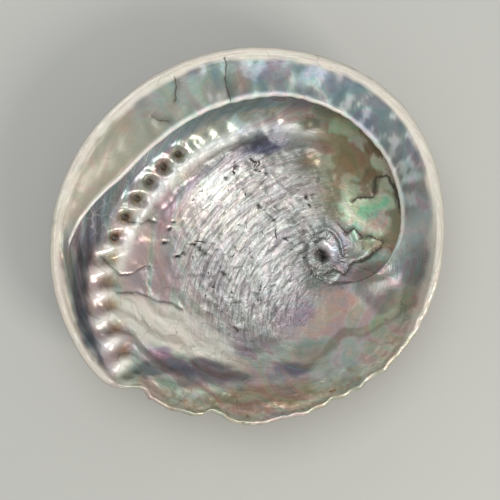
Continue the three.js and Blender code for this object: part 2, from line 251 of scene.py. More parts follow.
def cyclic(pairs, degrees):
    """A smooth closed curve of one value over the angle: cubic pieces through the pairs, whose slope
    at each pair is that of the line between its two neighbours."""
    angle, value = np.array(sorted(pairs), float).T
    angle = np.concatenate([angle - 360, angle, angle + 360])
    value = np.tile(value, 3)
    slope = np.gradient(value) * 2 / (np.roll(angle, -1) - np.roll(angle, 1))
    at = np.mod(degrees, 360)
    i = np.searchsorted(angle, at, side="right") - 1
    span = angle[i + 1] - angle[i]
    t = (at - angle[i]) / span
    bend = 3 * t**2 - 2 * t**3
    start = slope[i] * span * (t**3 - 2 * t**2 + t)
    end = slope[i + 1] * span * (t**3 - t**2)
    return value[i] * (1 - bend) + value[i + 1] * bend + start + end


def ease(value, low, high):
    """0 below low, 1 above high, and an S curve between."""
    t = np.clip((value - low) / (high - low), 0, 1)
    return t * t * (3 - 2 * t)


def window(value, rise_from, rise_to, fall_from, fall_to):
    """1 in the middle, 0 outside, and an S curve over each of the two edges."""
    return ease(value, rise_from, rise_to) * (1 - ease(value, fall_from, fall_to))


def mix(a, b, t):
    """a where t is 0, b where t is 1, and a straight line between."""
    return a + (b - a) * t


def hill(distance, radius):
    """A round hill, 1 in the middle and about a third at its radius."""
    return np.exp(-((distance / radius) ** 2))


def lumps(x, y, size, seed):
    """Smooth noise from -1 to 1: random values on a square lattice of this size, eased between."""
    table = np.random.default_rng(seed).uniform(-1, 1, (LATTICE, LATTICE))
    column, row = np.floor(x / size).astype(int), np.floor(y / size).astype(int)
    tx, ty = ease(x / size - column, 0, 1), ease(y / size - row, 0, 1)

    def corner(i, j):
        """The lattice's value at this corner of each point's square."""
        return table[(row + j) % LATTICE, (column + i) % LATTICE]

    return mix(mix(corner(0, 0), corner(1, 0), tx), mix(corner(0, 1), corner(1, 1), tx), ty)


def rough(x, y, size, seed, layers=3):
    """Layers of noise, each half the size and half the strength of the one before."""
    return sum(lumps(x, y, size / 2**k, seed + k) / 2**k for k in range(layers))


def away_from(x, y, place):
    """The distance to a place, seen from above."""
    return np.hypot(x - place[0], y - place[1])


# ---- the bowl ----

def mouth_radius(angle):
    """The mouth's outline: a smooth curve of shares of MOUTH_RADIUS."""
    return MOUTH_RADIUS * cyclic(OUTLINE, angle)


def rim_height(angle):
    """The rim's height: a smooth curve of shares of HEIGHT."""
    return HEIGHT * cyclic(RIM_HEIGHT, angle)


def lip_share(angle):
    """1 along the growing lip at the bottom of the mouth, and 0 along the keeled side."""
    return window(np.mod(angle, 360), 222, 240, 318, 352)


def chip_depth(angle):
    """How far the nicks cut into the growing edge: a hill for each, with noise between them."""
    nicks = sum(depth * hill(angle - at, spread) for at, spread, depth in CHIPS)
    return nicks + RAGGED_EDGE * (1 + rough(angle, 0 * angle, 3.1, seed=5)) * lip_share(angle)


def wall_thickness(angle):
    """The wall's width in plan: one value along the growing lip, another elsewhere, and a blend between."""
    return mix(WALL_SHELF, WALL_LIP, lip_share(angle))


def bowl_profile(share, angle):
    """The share of the rim's height at a share of the way out: a shallow parabola up to the keel that
    carries the holes, joined by a hyperbola's bend to a steep side. The lip's side is one power curve."""
    reach, rise = cyclic(KEEL_REACH, angle), cyclic(KEEL_RISE, angle)
    dish = rise * (share / reach) ** 2
    out = (share - reach) / (1 - reach)
    side = rise + (1 - rise) * out * (1 - SIDE_BULGE + SIDE_BULGE * np.maximum(0, out))
    keeled = (dish + side + np.hypot(dish - side, KEEL_SOFTNESS)) / 2
    return mix(keeled, share**LIP_CURVE, lip_share(angle))


def place_in_bowl(x, y, wall):
    """The angle and the share of the way out of points of the plan. The mouth's outline shrinks
    towards the lowest spot, and the share is found by repeating the sum until it settles."""
    share = np.full(np.shape(x), 0.5)
    for _ in range(12):
        dx, dy = x - LOWEST[0] * (1 - share), y - LOWEST[1] * (1 - share)
        angle = np.degrees(np.arctan2(dy, dx))
        share = np.hypot(dx, dy) / (mouth_radius(angle) - wall * wall_thickness(angle))
    return angle, share


def round_spire(x, y):
    """Radius and angle, from -20 to 340 degrees, of points round the spire's axis."""
    dx, dy = x - SPIRE[0], y - SPIRE[1]
    return np.hypot(dx, dy), np.mod(np.degrees(np.arctan2(dy, dx)) + 20, 360) - 20


def back_height(x, y):
    """The outside's height: the bowl's profile, less the spire's low coil and the worn spot."""
    angle, share = place_in_bowl(x, y, 0)
    radius, _ = round_spire(x, y)
    bulge = SPIRE_BULGE_DEPTH * hill(radius, SPIRE_BULGE_RADIUS)
    return np.maximum(0, rim_height(angle) * bowl_profile(share, angle) - WORN_DEPTH - bulge)


def floor_height(x, y):
    """The inside's height: the same profile over a smaller outline, less the spire's deep pit."""
    angle, share = place_in_bowl(x, y, 1)
    radius, _ = round_spire(x, y)
    pit = PIT_DEPTH * np.exp(-((radius / PIT_RADIUS) ** 4))
    return FLOOR_THICKNESS + (rim_height(angle) - FLOOR_THICKNESS) * bowl_profile(share, angle) - pit


# ---- the holes ----

def hole_line(angle):
    """The hole row's radius round the spire: a logarithmic spiral that levels off at its new end."""
    spiral = HOLE_RADIUS_AT_LEFT * np.exp(HOLE_GROWTH * (np.minimum(angle, 180) - 180))
    return spiral + HOLE_DRIFT * (1 - np.exp(-np.maximum(angle - 180, 0) / HOLE_DRIFT_SPAN))


def hole_places(numbers, outwards=0):
    """Plan positions of the holes with these numbers: equal steps along the row, or this far outside it."""
    angle = FIRST_OPEN - HOLE_SPACING * numbers
    radius = hole_line(angle) + outwards
    bearing = np.radians(angle)
    return np.stack([SPIRE[0] + radius * np.cos(bearing), SPIRE[1] + radius * np.sin(bearing)], axis=1)


def bend_round(x, y, centre, radius):
    """Bends a block of the grid so that the square ring of points HOLE_BLOCK cells from its middle
    becomes a circle. The rings from there to HOLE_REACH blend back to where they were."""
    row, column = np.unravel_index(np.argmin(away_from(x, y, centre)), x.shape)
    i, j = ring_steps(HOLE_REACH)
    rows, columns = row + i, (column + j) % x.shape[1]
    ring = np.maximum(abs(i), abs(j))
    along = np.array([plan[row + 1, column] - plan[row - 1, column] for plan in (x, y)])
    along /= np.hypot(*along)
    side = np.array([-along[1], along[0]])
    ahead = (column + 1) % x.shape[1]
    next_one = np.array([plan[row, ahead] - plan[row, column] for plan in (x, y)])
    side *= np.sign(next_one @ side)
    # Walking round a square ring, the bearing grows evenly with the distance walked.
    across = abs(i) >= abs(j)
    lean = np.where(across, j, i) / np.maximum(ring, 1)
    bearing = np.where(across, np.where(i >= 0, lean, 4 - lean), np.where(j >= 0, 2 - lean, 6 + lean))
    bearing = bearing * TAU / 8
    distance = radius * (1 + RING_GROWTH * (ring - HOLE_BLOCK))
    keep = np.clip((ring - HOLE_BLOCK) / (HOLE_REACH - HOLE_BLOCK), 0, 1)
    for k, plan in enumerate((x, y)):
        bent = centre[k] + distance * (np.cos(bearing) * along[k] + np.sin(bearing) * side[k])
        plan[rows, columns] = mix(bent, plan[rows, columns], keep)
    return row, column


def ring_steps(reach):
    """Row and column offsets of a square block of grid points round its middle."""
    span = np.arange(-reach, reach + 1)
    return np.meshgrid(span, span, indexing="ij")


# ---- the section through the shell ----

def shell_grid():
    """The closed surface as a grid: each column is a section from the spire's axis out to the rim.
    It runs over the floor, back under the shelf, round the shelf's edge, over the shelf's top and the
    rim, and home along the back. Returns points, each row's stretch and the holes' places in the grid."""
    even = np.arange(COLUMNS) * 360 / COLUMNS
    angle = even + SECTION_LEAN * np.sin(np.radians(even))
    rim_radius = mouth_radius(angle) - chip_depth(angle)
    way_x = rim_radius * np.cos(np.radians(angle)) - SPIRE[0]
    way_y = rim_radius * np.sin(np.radians(angle)) - SPIRE[1]
    reach = np.hypot(way_x, way_y)
    way_x, way_y = way_x / reach, way_y / reach
    turned = np.mod(np.degrees(np.arctan2(way_y, way_x)), 360)

    def plan(r):
        """Plan positions this far from the spire along each section."""
        return SPIRE[0] + way_x * r, SPIRE[1] + way_y * r

    def floor(r):
        """The inside's height there."""
        return floor_height(*plan(r))

    inner = reach - wall_thickness(angle)
    top = np.minimum(rim_height(angle), floor(inner))
    edge = np.minimum(cyclic(SHELF_LINE, turned), inner - CLEAR_ACROSS)
    edge_floor = floor(edge)
    lift = np.maximum(0, cyclic(SHELF_LIFT, turned))
    edge_height = np.minimum(edge_floor + lift, np.maximum(top - CLEAR_DOWN, edge_floor))
    risen = edge_height - edge_floor
    wide = ease(np.mod(turned + 90, 360), 60, 125)
    flatness = wide * np.where(turned < 270, 1 - ease(turned, 172, 200), 1)

    def shelf_top(r):
        """Level where the shelf is wide, and part of the bowl's wall where the whorl closes."""
        t = np.clip((r - edge) / (inner - edge), 0, 1)
        wall_like = floor(r) + risen * (1 - t) ** 2
        level = mix(edge_height, top, t) + SHELF_CROWN * np.sin(math.pi * t)
        return mix(wall_like, level, flatness)

    # The shelf's foot is where its underside meets the floor, found by halving.
    plate = np.minimum(SHELF_THICKNESS, 0.75 * risen)
    low, high = edge.copy(), inner.copy()
    for _ in range(30):
        middle = (low + high) / 2
        inside = floor(middle) < shelf_top(middle) - plate
        low, high = np.where(inside, middle, low), np.where(inside, high, middle)
    foot = mix(edge - 1, low, ease(risen, SHELF_THICKNESS, SHELF_THICKNESS + 3))

    folded = ease(risen, 0, NOSE_RISEN)
    nose = NOSE_DEPTH * folded
    under_reach = edge + mix(-NOSE_FLAT, nose, folded)
    top_reach = edge + mix(NOSE_FLAT, nose, folded)
    edge_thickness = np.minimum(SHELF_EDGE, 0.7 * risen)
    under_height = floor(under_reach) + np.maximum(0.1 * risen, risen - edge_thickness)
    depth_at_foot = shelf_top(foot) - floor(foot)
    depth_at_edge = shelf_top(under_reach) - under_height

    share = {name: np.linspace(0, 1, count + 1)[:, None] for name, count in ROWS.items()}
    row_line = cyclic(CLOSE_ROWS, turned)
    parts = {}
    x, y = plan(foot * close_up(share["floor"], FLOOR_STOPS, row_line, foot))
    holes = hole_places(np.arange(OPEN_HOLES))
    inside_middles = [bend_round(x, y, hole, HOLE_RADIUS) for hole in holes]
    parts["floor"] = (x, y, floor_height(x, y))

    t = share["underside"][1:]
    r = mix(foot, under_reach, t)
    parts["underside"] = (*plan(r), shelf_top(r) - mix(depth_at_foot, depth_at_edge, t))

    t = share["edge"][1:]
    r = mix(under_reach, top_reach, t) - nose * np.sin(math.pi * t)
    parts["edge"] = (*plan(r), mix(under_height, shelf_top(top_reach), t))

    r = mix(top_reach, inner, share["shelf"][1:])
    parts["shelf"] = (*plan(r), shelf_top(r))

    t = share["rim"][1:]
    crown = RIM_CROWN * np.sin(math.pi * t)
    parts["rim"] = (*plan(mix(inner, reach, t)), mix(top, back_height(*plan(reach)), t) + crown)

    x, y = plan((reach * close_up(1 - share["back"], BACK_STOPS, row_line, reach))[1:])
    outer_holes = [hole + outward_shift(*hole) for hole in holes]
    outside_middles = [bend_round(x, y, hole, HOLE_TAPER * HOLE_RADIUS) for hole in outer_holes]
    parts["back"] = (x, y, back_height(x, y))

    points = np.stack([np.concatenate([parts[name][k] for name in ROWS]) for k in range(3)], axis=2)
    stretch = np.concatenate([[name] * len(parts[name][0]) for name in ROWS])
    first_back = int(np.argmax(stretch == "back"))
    outside_middles = [(row + first_back, column) for row, column in outside_middles]
    shelf_share = flatness * ease(risen, 1, 5)
    middles = list(zip(inside_middles, outside_middles))
    return Grid(points, stretch, turned, reach, inner, edge, shelf_share, middles)


def close_up(t, knots, row_line, reach):
    """Shares of the way out for the rows: straight stretches between stops, with the rows close
    together near the spire and in the band that the hole row runs through."""
    near, far = CLOSE_AT_SPIRE / reach, CLOSE_AT_ROW / reach
    band = np.clip(row_line / reach, 0.35, 0.9)
    stops = np.stack([0 * near, near, band - 0.6 * far, band + 0.4 * far, 1 + 0 * near])
    stops = np.maximum.accumulate(np.minimum(stops, 1), axis=0)
    knots = np.array(knots)
    i = np.clip(np.searchsorted(knots, t.ravel(), side="right") - 1, 0, len(knots) - 2)
    along = (t.ravel() - knots[i]) / (knots[i + 1] - knots[i])
    return mix(stops[i], stops[i + 1], along[:, None])


def outward_shift(x, y):
    """How far a channel square to the wall moves outwards between the inside and the back."""
    step = 2.0
    slope = np.array([floor_height(x + step, y) - floor_height(x - step, y),
                      floor_height(x, y + step) - floor_height(x, y - step)]) / (2 * step)
    return slope * FLOOR_THICKNESS / math.sqrt(1 + slope @ slope)


# ---- where each point lies ----

def growth_field(x, y, grid):
    """Where each point lies in the shell's growth. The shell only ever grew bigger and turned, so the
    lip's older places are the present lip turned back and shrunk. The first value is the angle turned
    since the point was the lip, and the second stays the same along a spiral cord."""
    order = np.argsort(grid.turned)
    lip_angle = np.linspace(120, 340, 221)
    lip = np.interp(lip_angle, grid.turned[order], grid.reach[order])
    lip_cord = np.log(lip) - SHELL_GROWTH * lip_angle
    radius, angle = round_spire(x, y)
    cord = np.log(np.maximum(radius, 0.5)) - SHELL_GROWTH * angle
    whorl = 360 * SHELL_GROWTH
    older = np.maximum(0, np.ceil((SUTURE_CORD - cord) / whorl))
    cord, angle = cord + older * whorl, angle - older * 360
    age = np.interp(-cord, -np.minimum.accumulate(lip_cord), lip_angle) - angle
    return age, cord, older


def nearest(x, y, places):
    """The distance to the nearest of these places."""
    return np.minimum.reduce([away_from(x, y, at) for at in places])


def beside_line(x, y, points):
    """The distance to a broken line, as the least distance to its straight pieces. It is negative on the
    line's left side, so that it stays exact between two columns."""
    found = np.full(np.shape(x), 1e3)
    for (ax, ay), (bx, by) in zip(points, points[1:]):
        dx, dy = bx - ax, by - ay
        t = np.clip(((x - ax) * dx + (y - ay) * dy) / (dx * dx + dy * dy), 0, 1)
        away = np.hypot(x - ax - t * dx, y - ay - t * dy)
        side = np.where((x - ax) * dy < (y - ay) * dx, -1, 1)
        found = np.where(away < abs(found), side * away, found)
    return found


def patch(x, y, middle, half, turn=0, core=0.7):
    """1 inside an ellipse, 0 well outside it, and an edge as soft as its core is small."""
    c, s = math.cos(math.radians(turn)), math.sin(math.radians(turn))
    dx, dy = x - middle[0], y - middle[1]
    away = np.hypot((dx * c + dy * s) / half[0], (dy * c - dx * s) / half[1])
    return 1 - ease(away, core, 2 - core)


class Places:
    """Everything that the relief and the tints ask about each point, worked out once."""

    def __init__(self, grid):
        x, y = self.x, self.y = grid.points[:, :, 0], grid.points[:, :, 1]
        rows = grid.stretch[:, None]
        s = self.stretch = {name: (rows == name) * np.ones(x.shape) for name in ROWS}
        self.shelf = (s["shelf"] + s["edge"]) * grid.shelf_share
        self.bowl = s["floor"] + (s["underside"] + s["shelf"] + s["edge"]) * (1 - grid.shelf_share)

        # Where each point is on its section, and in the shell's growth.
        self.radius, turned = round_spire(x, y)
        self.turned = turned
        self.across = np.clip((self.radius - grid.edge) / (grid.inner - grid.edge), 0, 1)
        self.from_rim = grid.reach[None, :] - self.radius
        self.layer = self.from_rim + 1.8 * rough(x, y, 6.5, seed=57) + 0.8 * rough(x, y, 2.6, seed=58)
        self.lip = lip_share(np.degrees(np.arctan2(y, x)))
        self.age, self.cord, self.older = growth_field(x, y, grid)

        # The hole row, and how far each point is from it. Knobs stand between the new hollows.
        self.open = hole_places(np.arange(OPEN_HOLES))
        self.new = hole_places(-1 - np.arange(NEW_HOLLOWS), HOLLOW_SHIFT)
        self.sealed = hole_places(OPEN_HOLES + np.arange(SEALED_HOLES))
        self.bumps = hole_places(OPEN_HOLES + np.arange(OLD_BUMPS))
        self.to_open, self.to_new = nearest(x, y, self.open), nearest(x, y, self.new)
        self.off_row = self.radius - hole_line(turned)
        self.row_on = window(turned, 55, 80, 212, 222)
        between = 0.5 - 0.5 * np.cos((turned - FIRST_OPEN) * TAU / HOLE_SPACING)
        last = FIRST_OPEN + HOLE_SPACING * (NEW_HOLLOWS + 1)
        span = window(turned, 150, 170, last, last + 3) * (0.55 + 0.45 * ease(turned, 176, 184))
        self.knob = between**1.2 * hill(self.off_row - 1.2 * ease(turned, 178, 184), 5.0) * span

        # Parts of the bowl, and the wavering seams and veins in it.
        self.scar = patch(x, y, *SCAR) * self.bowl
        self.threads = patch(x, y, *THREADS, core=0.4) * self.bowl
        self.pits = self.bowl * sum(patch(x, y, *pit, core=0.6) for pit in PITS)
        recess = window(turned, -19, 2, 75, 115) * ease(self.radius, 12, 20)
        self.recess = recess * (s["floor"] + s["underside"])
        self.to_blister = away_from(x, y, BLISTER)
        winding = 0.9 * rough(x, y, 3.5, seed=46, layers=2)
        self.to_seam = np.minimum.reduce([abs(beside_line(x, y, line)) for line in SEAMS]) + abs(winding)
        parted = 0.8 * rough(x, y, 4, seed=115)
        self.veins = [hill(abs(beside_line(x, y, line)) + parted, 0.75) for line in RECESS_CRACKS]

        # The distance beside the nearest long crack, and how dark that crack is.
        beside, self.crack = np.full(x.shape, 1e3), np.zeros(x.shape)
        found = ((CRACKS, self.shelf, 0.9), (SEAMS, self.bowl, 0.45), (RECESS_CRACKS, self.bowl, 1.0))
        for lines, where, darkness in found:
            for line in lines:
                side = np.where(where > 0.5, beside_line(x, y, line), 1e3)
                self.crack = np.maximum(self.crack, darkness * hill(side, 2.4))
                beside = np.where(abs(side) < abs(beside), side, beside)
        self.beside_crack = np.clip(beside, -CRACK_REACH, CRACK_REACH)

        # The spire's coil is not quite round and has a button beside it. The scar's fibres run in arcs.
        dx, dy = x - SPIRE[0], y - SPIRE[1]
        bumpy = 1 + 0.45 * rough(x, y, 4.0, seed=43, layers=2)
        self.uneven = np.hypot(1.15 * dx + 0.45 * dy, 0.8 * dy) * bumpy
        self.button = hill(np.hypot(dx - 2.2, dy - 4.6), 3.7)
        dx, dy = x - FIBRE_MIDDLE[0], y - FIBRE_MIDDLE[1]
        self.across_fibres = np.hypot(dx, dy)
        self.along_fibres = FIBRE_LENGTH * np.arctan2(dy, -dx)

        # Where lines of growth show, and how far the back's crust is rubbed off.
        lined = ease(self.cord, 2.1, 2.7) * (self.older == 0)
        self.lined = lined * (1 - self.shelf) * (1 - 0.9 * self.recess)
        rubbed = 0.75 * hill(away_from(x, y, LOWEST), 20) + 0.8 * hill(self.radius, 12)
        self.worn = np.clip(rubbed + 0.5 * hill(self.off_row, 3) * self.row_on, 0, 1)


# ---- relief: how far the surface stands out or in, in millimetres ----

def inside_relief(p):
    """The bowl's relief, a sum of hills, waves and noise: the hole row, its pearls and ridge, the muscle
    scar, the coil and the lip."""
    x, y, turned = p.x, p.y, p.turned
    rise = 0.4 * rough(x, y, 19, seed=11, layers=2) + 0.07 * rough(x, y, 5, seed=14)

    # Hole row: a ring of nacre round each open hole, hollows at the new end with knobs between
    # them, and pearls that seal the old ones. A ridge runs along its inner side.
    rise += 0.9 * hill(p.to_open - 4.2, 1.5) - 1.1 * hill(p.to_open, 2.7)
    rise += 2.7 * p.knob - 0.45 * hill(p.to_new, 2.8)
    for at, height, width in zip(p.sealed, PEARL_HEIGHTS, PEARL_WIDTHS):
        rise += height * hill(away_from(x, y, at), width)
    ridge = 2.0 * hill(p.off_row + RIDGE_INSIDE, 3.0) * window(turned, 62, 100, 170, 182)
    ridge -= 1.1 * hill(p.off_row + 13, 3.5) * window(turned, 85, 105, 160, 175)
    trough = 1.0 * hill(p.off_row - 6.0, 2.4) * ease(turned, 140, 165)
    rise += (ridge - trough) * p.row_on * (1 + 0.35 * rough(x, y, 7, seed=21))

    # Muscle scar: ridges that lean like the muscle's fibres did, and small pits.
    fibres = rough(p.along_fibres / 6, p.across_fibres, 2.6, seed=31, layers=2) * (1 - 0.7 * ease(x, 6, 26))
    fibres = 0.5 * fibres * (0.4 + 0.6 * ease(rough(x, y, 12, seed=34), -0.3, 0.5))
    dents = ease(rough(x, y, 4.2, seed=37), 0.45, 0.8)
    rise += p.scar * (fibres - 0.3 * dents) - 0.6 * p.pits
    rise += 0.15 * np.clip(4 * p.scar * (1 - p.scar), 0, 1)

    # A blister of nacre above the scar, and low swellings with seams between them at the left.
    rise += 1.9 * hill(p.to_blister, 4.6)
    for at in LOBES:
        rise += 0.8 * hill(away_from(x, y, at) * (1 + 0.3 * rough(x, y, 5, seed=45, layers=2)), 4.6)
    rise -= 0.5 * hill(p.to_seam, 0.9) * p.bowl

    # Coil: a groove that winds on from the shelf's edge into the spire, with a raised crescent.
    coil = p.radius - cyclic(COIL_LINE, turned)
    wound = 1 - ease(np.mod(turned, 360), 285, 320) + ease(np.mod(turned, 360), 345, 358)
    rise += (-0.45 * hill(coil, 0.8) + 0.4 * hill(coil + 2.1, 1.5)) * np.clip(wound, 0, 1)
    crescent = ease(np.cos(np.radians(turned - 80)), -0.45, 0.5)
    rise += 0.5 * hill(p.uneven - 5.8, 1.5) * crescent + 1.4 * p.button
    rise += 0.16 * np.sin(p.uneven * TAU / 1.9) * window(p.radius, 5, 7, 11, 14)
    rise += 0.12 * rough(x, y, 3.6, seed=41) * window(p.radius, 5, 8, 16, 27)
    for vein in p.veins:
        rise -= 0.5 * vein

    # Growth waves towards the lip, and steps where its thin layers end.
    waves = np.sin(p.age * TAU / 5.2 + 2.2 * rough(x, y, 24, seed=51))
    fine = np.sin(p.age * TAU / 1.7 + 3 * rough(x, y, 13, seed=53))
    near_lip = np.exp(-np.maximum(p.age, 0) / 42) * ease(p.cord, 2.3, 3.0)
    rise += near_lip * (0.26 * waves + 0.06 * fine)
    steps = sum(ease(p.layer, at, at + 0.5) for at in LIP_LAYERS)
    rise += 0.45 * (steps - len(LIP_LAYERS)) * p.lip
    return rise * ease(p.from_rim, 1.0, 3.5)


def under_shelf_relief(p):
    """The relief under the shelf: low, even noise."""
    return 0.3 * rough(p.x, p.y, 9, seed=61)


def shelf_relief(p):
    """The shelf's relief, a sum of hills, waves and noise: a raised inner edge, ripples along the growth
    and a few old cracks."""
    x, y = p.x, p.y
    rise = 0.3 * rough(x, y, 15, seed=71, layers=2) + 0.05 * rough(x, y, 3.8, seed=74)
    ripple = np.sin(p.turned * TAU / 5.5 + 7 * p.across + 2.5 * rough(x, y, 20, seed=77))
    rise += 0.16 * ripple * (0.4 + 0.6 * ease(p.turned, 30, 75)) * (1 - 0.7 * ease(p.turned, 130, 150))
    rise += 0.75 * hill(p.across - 0.03, 0.05) + 0.3 * hill(p.across - 0.93, 0.06)
    for line in CRACKS:
        rise -= 0.35 * hill(beside_line(x, y, line), 1.5)
    return rise


def outside_relief(p):
    """The back's relief, a sum of hills, waves and noise: rough growth folds, spiral cords, the hole
    row's tubes, the coil's seam and a crust."""
    x, y = p.x, p.y
    rise = 0.6 * rough(x, y, 14, seed=81) + 0.35 * rough(x, y, 3.4, seed=84)
    folds = np.sin(p.age * TAU / 7.5 + 3.2 * rough(x, y, 22, seed=87))
    small = np.sin(p.age * TAU / 2.4 + 3 * rough(x, y, 9, seed=88))
    size = np.clip(p.radius / 60, 0.15, 1)
    rise += size * (0.75 * folds * (0.6 + 0.4 * rough(x, y, 17, seed=89)) + 0.28 * small)
    rise += 0.35 * size * np.sin(p.cord * TAU / 0.062 + 1.4 * rough(x, y, 12, seed=91))

    to_tube = nearest(x, y, [at + outward_shift(*at) for at in p.open])
    rise += 2.6 * hill(to_tube - 2.9, 1.6) + 0.8 * hill(to_tube, 5.5) + 1.6 * hill(p.to_new, 3.0)
    for k, at in enumerate(p.bumps):
        rise += 1.5 * math.exp(-k / 18) * hill(away_from(x, y, at), 3.1 - 0.045 * k)
    rise += (0.8 * hill(p.off_row - 8, 3.2) - 0.7 * hill(p.off_row - 4.6, 1.7)) * p.row_on

    next_whorl = np.where(p.older > 0, SUTURE_CORD + 360 * SHELL_GROWTH - p.cord, 1)
    seam = np.minimum(p.cord - SUTURE_CORD, next_whorl)
    rise -= 1.5 * np.clip(p.radius / 22, 0.3, 1) * hill(seam, 0.055)
    crust = ease(rough(x, y, 8.5, seed=95), 0.25, 0.75)
    rise += 0.9 * crust * (0.7 + 0.6 * rough(x, y, 2.4, seed=97))
    return rise * ease(p.from_rim, 0.6, 3.0) * (0.2 + 0.8 * ease(away_from(x, y, LOWEST), 10, 26))


def with_relief(grid, places):
    """The grid's points moved along their normals by the relief of each stretch."""
    points = grid.points
    across_columns = (np.roll(points, -1, axis=1) - np.roll(points, 1, axis=1)) / 2
    across_rows = np.gradient(points, axis=0)
    normal = np.cross(across_rows, across_columns)
    length = np.linalg.norm(normal, axis=2, keepdims=True)
    normal = normal / np.maximum(length, 1e-9)
    normal[0], normal[-1] = (0, 0, 1), (0, 0, -1)
    s = places.stretch
    shelf_part = s["shelf"] + s["edge"]
    inside = inside_relief(places)
    on_shelf = mix(inside, shelf_relief(places), grid.shelf_share)
    settled = mix(0.35, 1, ease(abs(places.radius - grid.inner[None, :]), 0, 2.0))
    rise = s["floor"] * inside + s["back"] * outside_relief(places)
    rise += s["underside"] * mix(inside, under_shelf_relief(places), grid.shelf_share)
    rise += shelf_part * on_shelf * settled
    rise += s["rim"] * 0.16 * rough(places.x, places.y, 4.2, seed=99)
    moved = points + normal * rise[:, :, None]
    moved[:, :, 2] = np.maximum(moved[:, :, 2], 0)
    return moved


# ---- tints: the colour that each part of the surface leans to ----

def linear(text):
    """A hex colour as the linear light that the shaders work in."""
    value = np.array([int(text[i:i + 2], 16) for i in (0, 2, 4)]) / 255
    return np.where(value <= 0.04045, value / 12.92, ((value + 0.055) / 1.055) ** 2.4)


def tint_over(base, share, text):
    """Lays one colour over the others where its share says so."""
    return mix(base, linear(text), np.clip(share, 0, 1)[:, :, None])


def layered(base, **shares):
    """Lays named tints over the others in turn, each where its share says so."""
    for name, share in shares.items():
        base = tint_over(base, share, TINT[name])
    return base


def patches_over(base, patches, x, y, where, core):
    """Lays elliptical patches of colour over the others, inside one part of the shell."""
    for middle, half, turn, share, text in patches:
        base = tint_over(base, share * where * patch(x, y, middle, half, turn, core), text)
    return base


